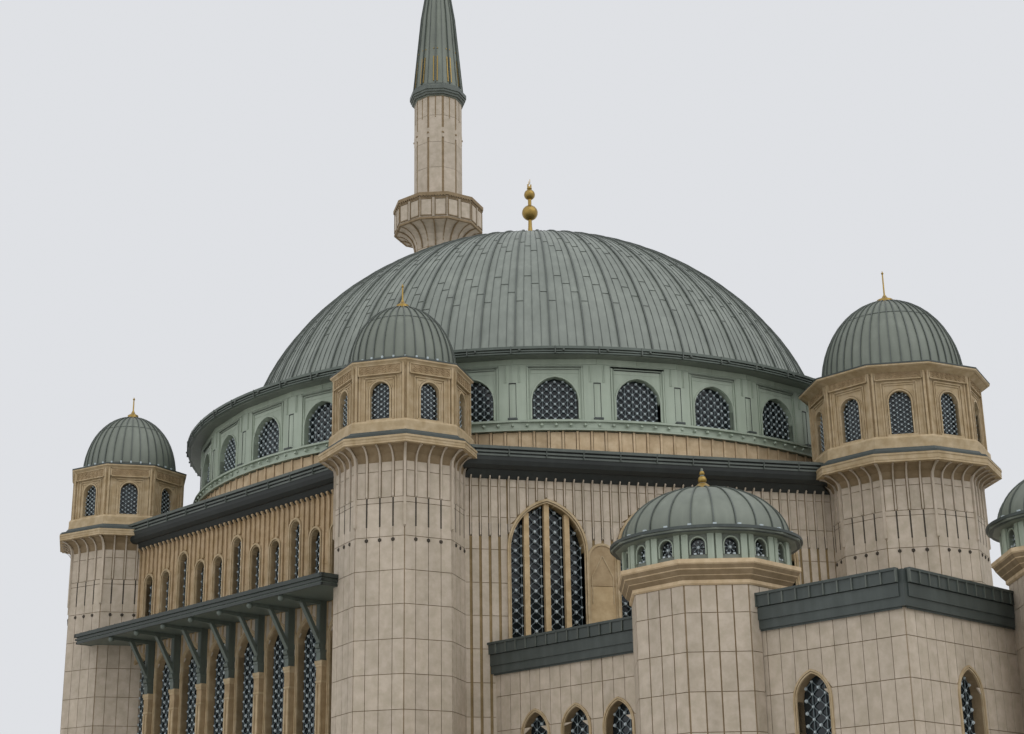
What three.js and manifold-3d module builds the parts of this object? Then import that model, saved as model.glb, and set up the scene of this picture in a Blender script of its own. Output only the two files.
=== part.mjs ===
// A domed mosque at half of its real size: a six-sided prayer hall under a great dome on a drum,
// a tower with a lantern on each corner, one minaret behind and a low domed wing in front.
// Millimetres, +Z up. The origin is on the ground under the middle of the main dome, and the
// hall's front wall faces -Y.
import * as THREE from 'three';
import { mergeVertices } from 'three/addons/utils/BufferGeometryUtils.js';
import Module from 'manifold-3d';

const wasm = await Module();
wasm.setup();

// One metre of the real building, at half scale
const METRE = 500;
// What stays open between two pieces that touch
const GAP = 0.3;

// Prayer hall: distances from the middle to the flat sides
const HALL_APOTHEM = 15.18 * METRE;
const WALL_THICKNESS = 0.7 * METRE;
const WALL_TOP = 15.65 * METRE;
// The front wall stands in two lifts: its doorway is in the lower one, its windows in the upper one
const WALL_LIFT = 9.9 * METRE;
const FLOOR_TOP = 0.3 * METRE;

// Roof plate and its metal eave
const EAVE_APOTHEM = 15.74 * METRE;
const EAVE_TOP = 16.6 * METRE;
const EAVE_DROP = 0.32 * METRE;
const ROOF_OPENING = 13.2 * METRE;
const SOFFIT_OVERHANG = 0.05 * METRE;

// Three large windows in a plain hall wall
const LARGE_WINDOW = { width: 2.5 * METRE, sill: 10.3 * METRE, spring: 13.3 * METRE, top: 14.9 * METRE };
const LARGE_WINDOW_PITCH = 3.72 * METRE;

// Small upper windows of the canopy wall, every third one taller
const UPPER_WIDTH = 0.5 * METRE;
const UPPER_PITCH = 1.15 * METRE;
const UPPER_COUNT = 11;
const UPPER_SILL = 12.75 * METRE;
const UPPER_TALL_TOP = 15.05 * METRE;
const UPPER_SHORT_TOP = 14.55 * METRE;

// Tall lower windows between the piers
const LOWER_WINDOW = { width: 1.16 * METRE, sill: 6.0 * METRE, spring: 10.75 * METRE, top: 11.52 * METRE };
const PLAIN_LOWER_WINDOW = { width: 1.06 * METRE, sill: 5.0 * METRE, spring: 8.9 * METRE, top: 9.6 * METRE };
const LOWER_PITCH = 1.735 * METRE;
const LOWER_COUNT = 8;

// Piers and the canopy that they carry
const PIER_WIDTH = 0.3 * METRE;
const PIER_DEPTH = 0.25 * METRE;
const PIER_TOP = 10.0 * METRE;
const CANOPY_APOTHEM = 17.15 * METRE;
const CANOPY_HALF_WIDTH = 7.5 * METRE;
const CANOPY_TOP = 12.35 * METRE;
const CANOPY_THICKNESS = 0.36 * METRE;
const BRACKET_WIDTH = 0.16 * METRE;
const BRACKET_FOOT = { out: 0.27 * METRE, up: 0.55 * METRE };
const BRACKET_SEAT = 0.05 * METRE;
const PIER_BITE = 0.1 * METRE;
const BRACKET_KNEE = { out: 1.06 * METRE, below: 0.14 * METRE };
const BRACKET_TIP = { setback: 0.07 * METRE, below: 0.1 * METRE };
const BRACKET_HOLE = { edge: 0.33 * METRE, foot: 0.89 * METRE, reach: 0.92 * METRE, below: 0.13 * METRE };

// Plain doorways
const DOORWAY = { width: 2.4 * METRE, sill: 0, spring: 2.6 * METRE, top: 3.8 * METRE };

// Drum: a stone ring, a metal ledge, the window wall and its cornice
const DRUM_BASE_RADIUS = 14.22 * METRE;
const DRUM_INNER_RADIUS = 13.45 * METRE;
const LEDGE_RADIUS = 14.37 * METRE;
const LEDGE_BOTTOM = 17.8 * METRE;
const LEDGE_TOP = 18.16 * METRE;
const LEDGE_CHAMFER = 0.08 * METRE;
const DRUM_RADIUS = 14.15 * METRE;
const DRUM_TOP = 20.47 * METRE;
const DRUM_SEGMENTS = 3;
const DRUM_WINDOWS = 30;
const DRUM_WINDOW = { width: 1.62 * METRE, sill: 18.28 * METRE, spring: 18.95 * METRE, top: 19.82 * METRE };
const CORNICE_RADIUS = 14.66 * METRE;
const CORNICE_HEIGHT = 0.25 * METRE;
const CORNICE_CHAMFER = { in: 0.08 * METRE, up: 0.06 * METRE };
const CORNICE_LAP = 0.3 * METRE;
const DOME_FOOT_STEP = 0.1 * METRE;

// Glass: one sheet behind the openings of a wall, reaching a little past them
const GLASS_THICKNESS = 0.06 * METRE;
const GLASS_HALF_WIDTH = 6.3 * METRE;
const GLASS_LAP = 0.1 * METRE;

// Main dome, a half ellipsoid shell
const DOME_RADIUS = 12.6 * METRE;
const DOME_RISE = 10.985 * METRE;
const DOME_CENTRE = 19.18 * METRE;
const DOME_FOOT = 21.1 * METRE;
const DOME_THICKNESS = 0.4 * METRE;
const DOME_SIDES = 48;

// Gilded finial on the main dome: a collar, a cone, two balls and a thin tip
const FINIAL_SEAT = 0.35 * METRE;
const FINIAL_COLLAR = { radius: 0.62 * METRE, height: 0.3 * METRE };
const FINIAL_CONE = { radius: 0.3 * METRE, bottom: 0.9 * METRE, top: 1.45 * METRE };
const FINIAL_NECK = 0.08 * METRE;
const FINIAL_LARGE_BALL = { radius: 0.34 * METRE, height: 32.3 * METRE };
const FINIAL_SMALL_BALL = { radius: 0.24 * METRE, height: 33.2 * METRE };
const FINIAL_SHOULDER = 33.6 * METRE;
const FINIAL_TIP = 33.94 * METRE;
const FINIAL_POINT = 0.03 * METRE;

// The two kinds of corner tower: radii are to the corners, facing turns a side or a corner outwards
const SMALL_TOWER = {
  sides: 8, firstCorner: Math.PI / 8, centre: 17.0 * METRE,
  shaft: 2.13 * METRE, lip: 2.69 * METRE, wall: 2.22 * METRE, eave: 2.36 * METRE, dome: 1.8 * METRE,
  foot: 15.7 * METRE, lipBottom: 16.19 * METRE, lipTop: 16.4 * METRE, bandTop: 17.0 * METRE,
  eaveTop: 19.08 * METRE, domeTop: 21.56 * METRE, tip: 22.5 * METRE,
  window: { width: 0.66 * METRE, sill: 17.07 * METRE, spring: 18.01 * METRE, top: 18.34 * METRE },
};
const LARGE_TOWER = {
  sides: 10, firstCorner: 0, centre: 18.05 * METRE,
  shaft: 2.67 * METRE, lip: 3.35 * METRE, wall: 2.91 * METRE, eave: 3.28 * METRE, dome: 2.46 * METRE,
  foot: 15.62 * METRE, lipBottom: 16.06 * METRE, lipTop: 16.33 * METRE, bandTop: 16.97 * METRE,
  eaveTop: 19.49 * METRE, domeTop: 22.75 * METRE, tip: 24.04 * METRE,
  window: { width: 0.74 * METRE, sill: 17.06 * METRE, spring: 18.22 * METRE, top: 18.59 * METRE },
};
const TOWER_WALL = 0.42 * METRE;

// Mouldings at the foot and the head of a lantern, and the foot and the collar of its dome
const PLINTH = {
  setback: 0.1 * METRE, out: 0.2 * METRE, rise: 0.22 * METRE, head: 0.14 * METRE, step: 0.02 * METRE,
};
const LANTERN_CORNICE = { depth: 0.3 * METRE, lip: 0.1 * METRE };
const SMALL_DOME = { shell: 0.18 * METRE, foot: 0.12 * METRE, setback: 0.06 * METRE, edge: 0.05 * METRE };
const SMALL_COLLAR = { share: 0.16, sunk: 0.03 * METRE, top: 0.14 * METRE, cone: 0.34 * METRE };

// Minaret, behind the back wall
const MINARET_X = -0.35 * METRE;
const MINARET_Y = 19.0 * METRE;
const MINARET_SIDES = 10;
const MINARET_BASE_HALF = 2.2 * METRE;
const MINARET_BASE_TOP = 10.9 * METRE;
const MINARET_NECK_FOOT = 11.3 * METRE;
const MINARET_NECK_SHARE = 0.98;
const MINARET_NECK_TOP = 13.6 * METRE;
const MINARET_NECK_RING = { out: 0.12 * METRE, height: 0.2 * METRE };
const MINARET_RADIUS = 1.37 * METRE;
const BALCONY_RADIUS = 2.5 * METRE;
const BALCONY_FOOT = 37.95 * METRE;
const BALCONY_FLARE = { in: 0.1 * METRE, top: 39.15 * METRE };
const BALCONY_PANEL_FOOT = 39.2 * METRE;
const BALCONY_FLOOR = 39.4 * METRE;
const BALCONY_TOP = 40.7 * METRE;
const BALCONY_WALL = 0.22 * METRE;
const CONE_FOOT = 47.35 * METRE;
const CONE_RING = { radius: 1.6 * METRE, bottom: 47.62 * METRE, top: 47.92 * METRE };
const CONE_RADIUS = 1.45 * METRE;
const CONE_START = 48.12 * METRE;
const CONE_WAIST = { radius: 1.0 * METRE, height: 53 * METRE };
const CONE_TIP = 60.6 * METRE;
// Small finial of the minaret, as [radius, distance below the tip]
const MINARET_FINIAL = [
  [0.14, 2.2], [0.14, 1.9], [0.26, 1.55], [0.06, 1.2], [0.18, 0.9], [0.05, 0.6], [0.02, 0],
];

// Low wing, drawn with its length along -Y and then turned to point at the front right corner
const WING_TURN = Math.PI / 6;
const WING_HALF_WIDTH = 12.35 * METRE;
const WING_LENGTH = 25.55 * METRE;
const WING_WALL = 0.6 * METRE;
const WING_FLOOR_END = 9 * METRE;
const WING_WALL_TOP = 9.25 * METRE;
const WING_ROOF_TOP = 9.55 * METRE;
const WING_OVERHANG = 0.15 * METRE;
const PARAPET_TOP = 10.2 * METRE;
const PARAPET_THICKNESS = 0.35 * METRE;
const WING_WINDOW = { width: 1.06 * METRE, sill: 3.2 * METRE, spring: 7.2 * METRE, top: 7.9 * METRE };
const WING_SIDE_WINDOWS = [12.15, 13.88, 15.61, 22.55];
const WING_END_WINDOWS = [2.6, 9.6];

// Domed turrets: two in the sides of the wing and two against its end wall
const TURRETS = [
  { name: 'left', side: -11.95 * METRE, out: 18.86 * METRE },
  { name: 'right', side: 11.95 * METRE, out: 18.86 * METRE },
  { name: 'end_left', side: -6.05 * METRE, out: 27.7 * METRE },
  { name: 'end_right', side: 6.05 * METRE, out: 27.7 * METRE },
];
const TURRET_BASE_SIDES = 8;
const TURRET_BASE_RADIUS = 2.31 * METRE;
const TURRET_BASE_TOP = 11.1 * METRE;
// Cornice of the stone base, as [distance out, height]
const TURRET_CORNICE = [[0, 10.49], [0.2, 10.69], [0.34, 10.87], [0.4, 10.98]];
const TURRET_DRUM_RADIUS = 2.38 * METRE;
const TURRET_EAVE_RADIUS = 2.76 * METRE;
const TURRET_EAVE_TOP = 12.0 * METRE;
const TURRET_EAVE = { rise: 0.06 * METRE, edge: 0.1 * METRE };
const TURRET_DOME_SHELL = 0.25 * METRE;
const TURRET_DOME_FOOT = { in: 0.35 * METRE, up: 0.08 * METRE };
const TURRET_DOME_TOP = 13.66 * METRE;
const TURRET_TIP = 14.34 * METRE;
const TURRET_COLLAR = { radius: 0.3 * METRE, neck: 0.1 * METRE, height: 0.2 * METRE, point: 0.03 * METRE };
const TURRET_WINDOWS = 16;
const TURRET_WINDOW = { width: 0.4 * METRE, sill: 11.28 * METRE, spring: 11.56 * METRE, top: 11.76 * METRE };

const HEXAGON_SIDES = 6;
const TURN = 2 * Math.PI;

const finish = (color, roughness, metalness) =>
  new THREE.MeshStandardMaterial({ color, roughness, metalness });
const PALE_STONE = finish(0xb5a896, 0.85, 0);
const WARM_STONE = finish(0xb79e7c, 0.85, 0);
const SAGE_METAL = finish(0x7e8c7a, 0.5, 0.2);
const ROOF_METAL = finish(0x7a8078, 0.45, 0.4);
const DARK_METAL = finish(0x3f4542, 0.5, 0.4);
const GOLD = finish(0xb8912f, 0.3, 1);
const GLASS = finish(0x2b3336, 0.15, 0);
const FLOOR_STONE = finish(0xa79c8c, 0.7, 0);

const building = new THREE.Group();

// Shared vertices merged and empty triangles dropped, so that the mesh is closed
function weld(geometry) {
  geometry.deleteAttribute('normal');
  geometry.deleteAttribute('uv');
  const merged = mergeVertices(geometry, 0.01);
  const corners = merged.index.array;
  const kept = [];
  for (let i = 0; i < corners.length; i += 3) {
    const [a, b, c] = [corners[i], corners[i + 1], corners[i + 2]];
    if (a !== b && b !== c && c !== a) kept.push(a, b, c);
  }
  merged.setIndex(kept);
  return merged;
}

function solid(geometry) {
  const welded = weld(geometry);
  return new wasm.Manifold(new wasm.Mesh({
    numProp: 3,
    vertProperties: welded.attributes.position.array,
    triVerts: Uint32Array.from(welded.index.array),
  }));
}

function add(name, manifold, material) {
  const mesh = manifold.getMesh();
  const geometry = new THREE.BufferGeometry();
  geometry.setAttribute('position', new THREE.BufferAttribute(mesh.vertProperties, 3));
  geometry.setIndex(new THREE.BufferAttribute(mesh.triVerts, 1));
  geometry.computeVertexNormals();
  const piece = new THREE.Mesh(geometry, material);
  piece.name = name;
  building.add(piece);
}

// Corners of a regular outline
function polygon(sides, radius, firstCorner = 0) {
  return Array.from({ length: sides }, (_, i) => {
    const angle = firstCorner + (i * TURN) / sides;
    return new THREE.Vector2(radius * Math.cos(angle), radius * Math.sin(angle));
  });
}

const hexagon = (apothem) => polygon(HEXAGON_SIDES, apothem / Math.cos(Math.PI / HEXAGON_SIDES));

const rectangle = (left, right, near, far) =>
  [[left, near], [right, near], [right, far], [left, far]].map(([x, y]) => new THREE.Vector2(x, y));

// An outline in plan raised from one height to another
function prism(outline, bottom, top) {
  const options = { depth: top - bottom, bevelEnabled: false };
  return solid(new THREE.ExtrudeGeometry(new THREE.Shape(outline), options).translate(0, 0, bottom));
}

// A half section of [radius, height] points swept round the Z axis in flat sides
function turned(section, sides, firstCorner = 0) {
  const points = section.map(([radius, height]) => new THREE.Vector2(radius, height));
  if (points[0].x > 0) points.push(points[0].clone());
  const swept = weld(new THREE.LatheGeometry(points, sides).rotateX(Math.PI / 2));
  return solid(swept.rotateZ(firstCorner + Math.PI / 2));
}

// Points of a quarter curve between two [radius, height] points, upright at the first
function quarter([radiusA, heightA], [radiusB, heightB], steps) {
  return Array.from({ length: steps + 1 }, (_, i) => {
    const angle = (i / steps) * (Math.PI / 2);
    return [
      radiusA + (radiusB - radiusA) * (1 - Math.cos(angle)),
      heightA + (heightB - heightA) * Math.sin(angle),
    ];
  });
}

const rotated = (manifold, angle) => manifold.rotate([0, 0, THREE.MathUtils.radToDeg(angle)]);
const moved = (manifold, x, y, z = 0) => manifold.translate([x, y, z]);

// A round or pointed arch standing in a wall that faces -Y, from the face inwards
function arch({ width, sill, spring, top }, x, face, depth, steps = 2) {
  const half = width / 2;
  const rise = top - spring;
  const shift = (rise * rise - half * half) / (2 * half);
  const sweep = Math.acos(shift / (half + shift));
  const shape = new THREE.Shape();
  shape.moveTo(-half, sill);
  shape.lineTo(half, sill);
  shape.absarc(-shift, spring, half + shift, 0, sweep, false);
  shape.absarc(shift, spring, half + shift, Math.PI - sweep, Math.PI, false);
  const options = { depth, bevelEnabled: false, curveSegments: steps };
  const bar = solid(new THREE.ExtrudeGeometry(shape, options).rotateX(Math.PI / 2));
  return moved(bar, x, face + depth);
}

const union = (pieces) => wasm.Manifold.union(pieces);

// Corner towers: each stands where two hall walls meet
const CORNERS = [
  { name: 'tower_right', angle: 0, kind: SMALL_TOWER },
  { name: 'tower_back_right', angle: 60, kind: SMALL_TOWER },
  { name: 'tower_back_left', angle: 120, kind: LARGE_TOWER },
  { name: 'tower_left', angle: 180, kind: SMALL_TOWER },
  { name: 'tower_front_left', angle: 240, kind: SMALL_TOWER },
  { name: 'tower_front_right', angle: 300, kind: LARGE_TOWER },
].map((corner) => ({ ...corner, angle: THREE.MathUtils.degToRad(corner.angle) }));

function placeOnCorner(manifold, { angle, kind }) {
  return rotated(moved(manifold, kind.centre, 0), angle);
}

// The outside of a shaft, with its flared head, swollen by a little when it cuts a neighbour
function shaftSection(kind, swell, steps) {
  const flare = quarter([kind.shaft + swell, kind.foot], [kind.lip + swell, kind.lipBottom], steps);
  return [[kind.shaft + swell, 0], ...flare, [kind.lip + swell, kind.lipTop]];
}

function shaftCutter(corner) {
  const { kind } = corner;
  const outside = shaftSection(kind, 2 * GAP, 1);
  outside[0][1] = -METRE;
  const section = [[0, -METRE], ...outside, [kind.lip + 2 * GAP, EAVE_TOP + METRE], [0, EAVE_TOP + METRE]];
  return placeOnCorner(turned(section, kind.sides, kind.firstCorner), corner);
}

function towerShaft({ kind }) {
  const inner = kind.shaft - TOWER_WALL;
  const section = [...shaftSection(kind, 0, 3), [inner, kind.lipTop], [inner, 0]];
  return turned(section, kind.sides, kind.firstCorner);
}

function towerLantern({ kind }) {
  const inner = kind.wall - TOWER_WALL;
  const bottom = kind.lipTop + GAP;
  const section = [
    [kind.lip - PLINTH.setback, bottom],
    [kind.wall + PLINTH.out, bottom + PLINTH.rise],
    [kind.wall + PLINTH.head, kind.bandTop],
    [kind.wall, kind.bandTop + PLINTH.step],
    [kind.wall, kind.eaveTop - LANTERN_CORNICE.depth],
    [kind.eave, kind.eaveTop - LANTERN_CORNICE.lip],
    [kind.eave, kind.eaveTop],
    [inner, kind.eaveTop],
    [inner, bottom],
  ];
  const windows = Array.from({ length: kind.sides }, (_, i) => {
    const angle = kind.firstCorner + ((i + 0.5) * TURN) / kind.sides;
    return rotated(arch(kind.window, 0, -kind.wall - METRE, 2 * METRE), angle + Math.PI / 2);
  });
  return turned(section, kind.sides, kind.firstCorner).subtract(union(windows));
}

function towerDome({ kind }) {
  const bottom = kind.eaveTop + GAP;
  const { shell, foot, setback, edge } = SMALL_DOME;
  const rim = kind.eave * Math.cos(Math.PI / kind.sides) - setback;
  const collar = SMALL_COLLAR.share * kind.dome;
  const outer = quarter([kind.dome, bottom + foot], [0, kind.domeTop], 4).slice(0, -1);
  const inner = quarter([kind.dome - shell, bottom], [0, kind.domeTop - 2 * shell], 2);
  const section = [
    ...inner.reverse(),
    [rim, bottom],
    [rim, bottom + edge],
    ...outer,
    [collar, kind.domeTop - SMALL_COLLAR.sunk],
    [collar, kind.domeTop + SMALL_COLLAR.top],
    [collar / 5, kind.domeTop + SMALL_COLLAR.cone],
    [collar / 10, kind.tip],
    [0, kind.tip],
  ];
  return turned(section, 16);
}

// Hall walls: the pattern of openings is drawn on a wall that faces -Y
function largeWindows() {
  const face = -HALL_APOTHEM - METRE;
  return [-1, 0, 1].map((i) => arch(LARGE_WINDOW, i * LARGE_WINDOW_PITCH, face, 3 * METRE, 4));
}

function lowerWindows(outline) {
  const face = -HALL_APOTHEM - METRE;
  return Array.from({ length: LOWER_COUNT }, (_, i) => {
    const x = (i - (LOWER_COUNT - 1) / 2) * LOWER_PITCH;
    return arch(outline, x, face, 3 * METRE);
  });
}

function upperWindows() {
  const face = -HALL_APOTHEM - METRE;
  return Array.from({ length: UPPER_COUNT }, (_, i) => {
    const top = i % 3 === 2 ? UPPER_TALL_TOP : UPPER_SHORT_TOP;
    const outline = { width: UPPER_WIDTH, sill: UPPER_SILL, spring: top - UPPER_WIDTH / 2, top };
    return arch(outline, (i - (UPPER_COUNT - 1) / 2) * UPPER_PITCH, face, 3 * METRE);
  });
}

const doorway = (face) => [arch(DOORWAY, 0, face - METRE, 3 * METRE, 3)];

function piers() {
  return Array.from({ length: LOWER_COUNT - 1 }, (_, i) => {
    const x = (i - (LOWER_COUNT - 2) / 2) * LOWER_PITCH;
    const outline = rectangle(
      x - PIER_WIDTH / 2, x + PIER_WIDTH / 2,
      -HALL_APOTHEM - PIER_DEPTH, -HALL_APOTHEM + PIER_BITE,
    );
    return prism(outline, 0, PIER_TOP);
  });
}

const SIDES = [
  { name: 'front', angle: -90, openings: () => [...largeWindows(), ...doorway(-HALL_APOTHEM)] },
  { name: 'right_front', angle: -30, openings: () => [...largeWindows(), ...doorway(-HALL_APOTHEM)] },
  { name: 'right_back', angle: 30, openings: () => [...largeWindows(), ...lowerWindows(PLAIN_LOWER_WINDOW)] },
  { name: 'back', angle: 90, openings: () => largeWindows() },
  { name: 'left_back', angle: 150, openings: () => [...largeWindows(), ...lowerWindows(PLAIN_LOWER_WINDOW)] },
  {
    name: 'left_front', angle: 210, piers,
    openings: () => [...upperWindows(), ...lowerWindows(LOWER_WINDOW)],
  },
].map((side) => ({ ...side, turn: THREE.MathUtils.degToRad(side.angle + 90) }));

const shaftCutters = union(CORNERS.map(shaftCutter));
const hallOutside = prism(hexagon(HALL_APOTHEM + GAP), -METRE, EAVE_TOP + METRE);

function hallWall(side) {
  const inner = HALL_APOTHEM - WALL_THICKNESS;
  const mitre = Math.tan(Math.PI / HEXAGON_SIDES);
  const outline = [
    [-HALL_APOTHEM * mitre, -HALL_APOTHEM], [HALL_APOTHEM * mitre, -HALL_APOTHEM],
    [inner * mitre, -inner], [-inner * mitre, -inner],
  ].map(([x, y]) => new THREE.Vector2(x, y));
  let wall = prism(outline, 0, WALL_TOP).subtract(union(side.openings()));
  if (side.piers) wall = union([wall, ...side.piers()]);
  return rotated(wall, side.turn).subtract(shaftCutters);
}

function hallGlass(side) {
  const inner = HALL_APOTHEM - WALL_THICKNESS - GAP;
  const outline = rectangle(-GLASS_HALF_WIDTH, GLASS_HALF_WIDTH, -inner, -inner + GLASS_THICKNESS);
  const bottom = side.openings().length > 4 ? PLAIN_LOWER_WINDOW.sill : LARGE_WINDOW.sill;
  const sheet = prism(outline, bottom - GLASS_LAP, UPPER_TALL_TOP + GLASS_LAP);
  return rotated(sheet, side.turn).subtract(shaftCutters);
}

for (const side of SIDES) {
  const wall = hallWall(side);
  if (side.name === 'front') {
    add('front_wall', wall.trimByPlane([0, 0, -1], -WALL_LIFT), PALE_STONE);
    add('front_window_wall', wall.trimByPlane([0, 0, 1], WALL_LIFT + GAP), PALE_STONE);
  } else {
    add(`${side.name}_wall`, wall, PALE_STONE);
  }
  add(`${side.name}_glass`, hallGlass(side), GLASS);
}

for (const corner of CORNERS) {
  add(`${corner.name}_shaft`, placeOnCorner(towerShaft(corner), corner), PALE_STONE);
  add(`${corner.name}_lantern`, placeOnCorner(towerLantern(corner), corner), WARM_STONE);
  add(`${corner.name}_dome`, placeOnCorner(towerDome(corner), corner), ROOF_METAL);
}

// Floor and roof of the hall
const floorOutline = hexagon(HALL_APOTHEM - WALL_THICKNESS - GAP);
add('hall_floor', prism(floorOutline, 0, FLOOR_TOP).subtract(shaftCutters), FLOOR_STONE);

function hallRoof() {
  const sides = HEXAGON_SIDES;
  const corner = 1 / Math.cos(Math.PI / sides);
  const section = [
    [0, WALL_TOP + GAP],
    [(HALL_APOTHEM + SOFFIT_OVERHANG) * corner, WALL_TOP + GAP],
    [EAVE_APOTHEM * corner, EAVE_TOP - EAVE_DROP],
    [EAVE_APOTHEM * corner, EAVE_TOP],
    [0, EAVE_TOP],
  ];
  const opening = prism(polygon(24, ROOF_OPENING), WALL_TOP - METRE, EAVE_TOP + METRE);
  const plate = turned(section, sides);
  return plate.subtract(union([opening, shaftCutters]));
}
add('hall_roof', hallRoof(), DARK_METAL);

// Drum, from the roof up
const ringBottom = EAVE_TOP + GAP;
add('drum_base', turned([
  [DRUM_BASE_RADIUS, ringBottom], [DRUM_BASE_RADIUS, LEDGE_BOTTOM],
  [DRUM_INNER_RADIUS, LEDGE_BOTTOM], [DRUM_INNER_RADIUS, ringBottom],
], DRUM_WINDOWS), WARM_STONE);
add('drum_ledge', turned([
  [DRUM_BASE_RADIUS, LEDGE_BOTTOM + GAP], [LEDGE_RADIUS, LEDGE_BOTTOM + LEDGE_CHAMFER],
  [LEDGE_RADIUS, LEDGE_TOP], [DRUM_INNER_RADIUS, LEDGE_TOP], [DRUM_INNER_RADIUS, LEDGE_BOTTOM + GAP],
], DRUM_WINDOWS), SAGE_METAL);

function drumRing() {
  const bottom = LEDGE_TOP + GAP;
  const ring = turned([
    [DRUM_RADIUS, bottom], [DRUM_RADIUS, DRUM_TOP],
    [DRUM_INNER_RADIUS, DRUM_TOP], [DRUM_INNER_RADIUS, bottom],
  ], DRUM_WINDOWS);
  const windows = Array.from({ length: DRUM_WINDOWS }, (_, i) =>
    rotated(arch(DRUM_WINDOW, 0, -DRUM_RADIUS - METRE, 3 * METRE), (i * TURN) / DRUM_WINDOWS));
  return ring.subtract(union(windows));
}

function drumSegment(ring, i) {
  const half = Math.PI / DRUM_SEGMENTS;
  const reach = 2 * DRUM_RADIUS / Math.cos(half);
  const trim = Math.asin(GAP / 2 / DRUM_INNER_RADIUS);
  const fan = [
    new THREE.Vector2(0, 0),
    ...[-1, -0.5, 0, 0.5, 1].map((t) => {
      const angle = t * (half - trim);
      return new THREE.Vector2(reach * Math.cos(angle), reach * Math.sin(angle));
    }),
  ];
  // The cuts between the segments fall midway between two windows
  const turn = (i * TURN) / DRUM_SEGMENTS + Math.PI / DRUM_WINDOWS - Math.PI / 2;
  return ring.intersect(rotated(prism(fan, LEDGE_TOP - METRE, DRUM_TOP + METRE), turn));
}
const drum = drumRing();
['front_right', 'back', 'left'].forEach((name, i) =>
  add(`drum_wall_${name}`, drumSegment(drum, i), SAGE_METAL));

add('drum_glass', turned([
  [DRUM_INNER_RADIUS - GAP, DRUM_WINDOW.sill - GLASS_LAP],
  [DRUM_INNER_RADIUS - GAP, DRUM_WINDOW.top + GLASS_LAP],
  [DRUM_INNER_RADIUS - GLASS_THICKNESS, DRUM_WINDOW.top + GLASS_LAP],
  [DRUM_INNER_RADIUS - GLASS_THICKNESS, DRUM_WINDOW.sill - GLASS_LAP],
], DRUM_WINDOWS), GLASS);

const corniceTop = DRUM_TOP + CORNICE_HEIGHT;
const domeInner = DOME_RADIUS - DOME_THICKNESS;
add('drum_cornice', turned([
  [domeInner - CORNICE_LAP, DRUM_TOP + GAP], [CORNICE_RADIUS - CORNICE_CHAMFER.in, DRUM_TOP + GAP],
  [CORNICE_RADIUS, DRUM_TOP + CORNICE_CHAMFER.up], [CORNICE_RADIUS, corniceTop],
  [DOME_RADIUS + DOME_FOOT_STEP, DOME_FOOT - GAP], [domeInner - CORNICE_LAP, DOME_FOOT - GAP],
], DOME_SIDES), ROOF_METAL);

// Main dome: the part of an ellipsoid shell above its foot
function domeCurve(radius, rise, steps) {
  const start = Math.asin((DOME_FOOT - DOME_CENTRE) / rise);
  return Array.from({ length: steps + 1 }, (_, i) => {
    const angle = start + (i / steps) * (Math.PI / 2 - start);
    const out = i === steps ? 0 : radius * Math.cos(angle);
    return [out, DOME_CENTRE + rise * Math.sin(angle)];
  });
}
add('main_dome', turned([
  ...domeCurve(domeInner, DOME_RISE - DOME_THICKNESS, 4).reverse(),
  ...domeCurve(DOME_RADIUS, DOME_RISE, 8).slice(0, -1),
  [FINIAL_SEAT, DOME_CENTRE + DOME_RISE],
  [0, DOME_CENTRE + DOME_RISE],
], DOME_SIDES), ROOF_METAL);

// A ball on a neck, as a half section
function ball({ radius, height }) {
  const start = Math.acos(FINIAL_NECK / radius);
  return Array.from({ length: 5 }, (_, i) => {
    const angle = -start + (i / 4) * 2 * start;
    return [radius * Math.cos(angle), height + radius * Math.sin(angle)];
  });
}
const seat = DOME_CENTRE + DOME_RISE + GAP;
add('main_finial', turned([
  [0, seat], [FINIAL_COLLAR.radius, seat], [FINIAL_COLLAR.radius, seat + FINIAL_COLLAR.height],
  [FINIAL_CONE.radius, seat + FINIAL_CONE.bottom], [FINIAL_NECK, seat + FINIAL_CONE.top],
  ...ball(FINIAL_LARGE_BALL), ...ball(FINIAL_SMALL_BALL),
  [FINIAL_NECK, FINIAL_SHOULDER], [FINIAL_POINT, FINIAL_TIP], [0, FINIAL_TIP],
], 12), GOLD);

// Canopy over the piers: a slab with a bracket at each pier
function canopy() {
  const back = -HALL_APOTHEM - GAP;
  const bottom = CANOPY_TOP - CANOPY_THICKNESS;
  const outline = rectangle(-CANOPY_HALF_WIDTH, CANOPY_HALF_WIDTH, -CANOPY_APOTHEM, back);
  const slab = prism(outline, bottom, CANOPY_TOP);
  const foot = PIER_TOP + GAP;
  const tip = CANOPY_APOTHEM - HALL_APOTHEM - BRACKET_TIP.setback;
  const profile = new THREE.Shape([
    [GAP, foot], [BRACKET_FOOT.out, foot], [BRACKET_FOOT.out, foot + BRACKET_FOOT.up],
    [BRACKET_KNEE.out, bottom - BRACKET_KNEE.below], [tip, bottom - BRACKET_TIP.below],
    [tip, bottom + BRACKET_SEAT], [GAP, bottom + BRACKET_SEAT],
  ].map(([out, height]) => new THREE.Vector2(out, height)));
  profile.holes.push(new THREE.Path([
    [BRACKET_HOLE.edge, foot + BRACKET_HOLE.foot], [BRACKET_HOLE.reach, bottom - BRACKET_HOLE.below],
    [BRACKET_HOLE.edge, bottom - BRACKET_HOLE.below],
  ].map(([out, height]) => new THREE.Vector2(out, height))));
  const brackets = Array.from({ length: LOWER_COUNT - 1 }, (_, i) => {
    const x = (i - (LOWER_COUNT - 2) / 2) * LOWER_PITCH;
    const shape = new THREE.ExtrudeGeometry(profile, { depth: BRACKET_WIDTH, bevelEnabled: false });
    const bracket = solid(shape.rotateX(Math.PI / 2).rotateZ(-Math.PI / 2));
    return moved(bracket, x + BRACKET_WIDTH / 2, -HALL_APOTHEM);
  });
  const side = SIDES.find(({ name }) => name === 'left_front');
  return rotated(union([slab, ...brackets]), side.turn).subtract(shaftCutters);
}
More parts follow.
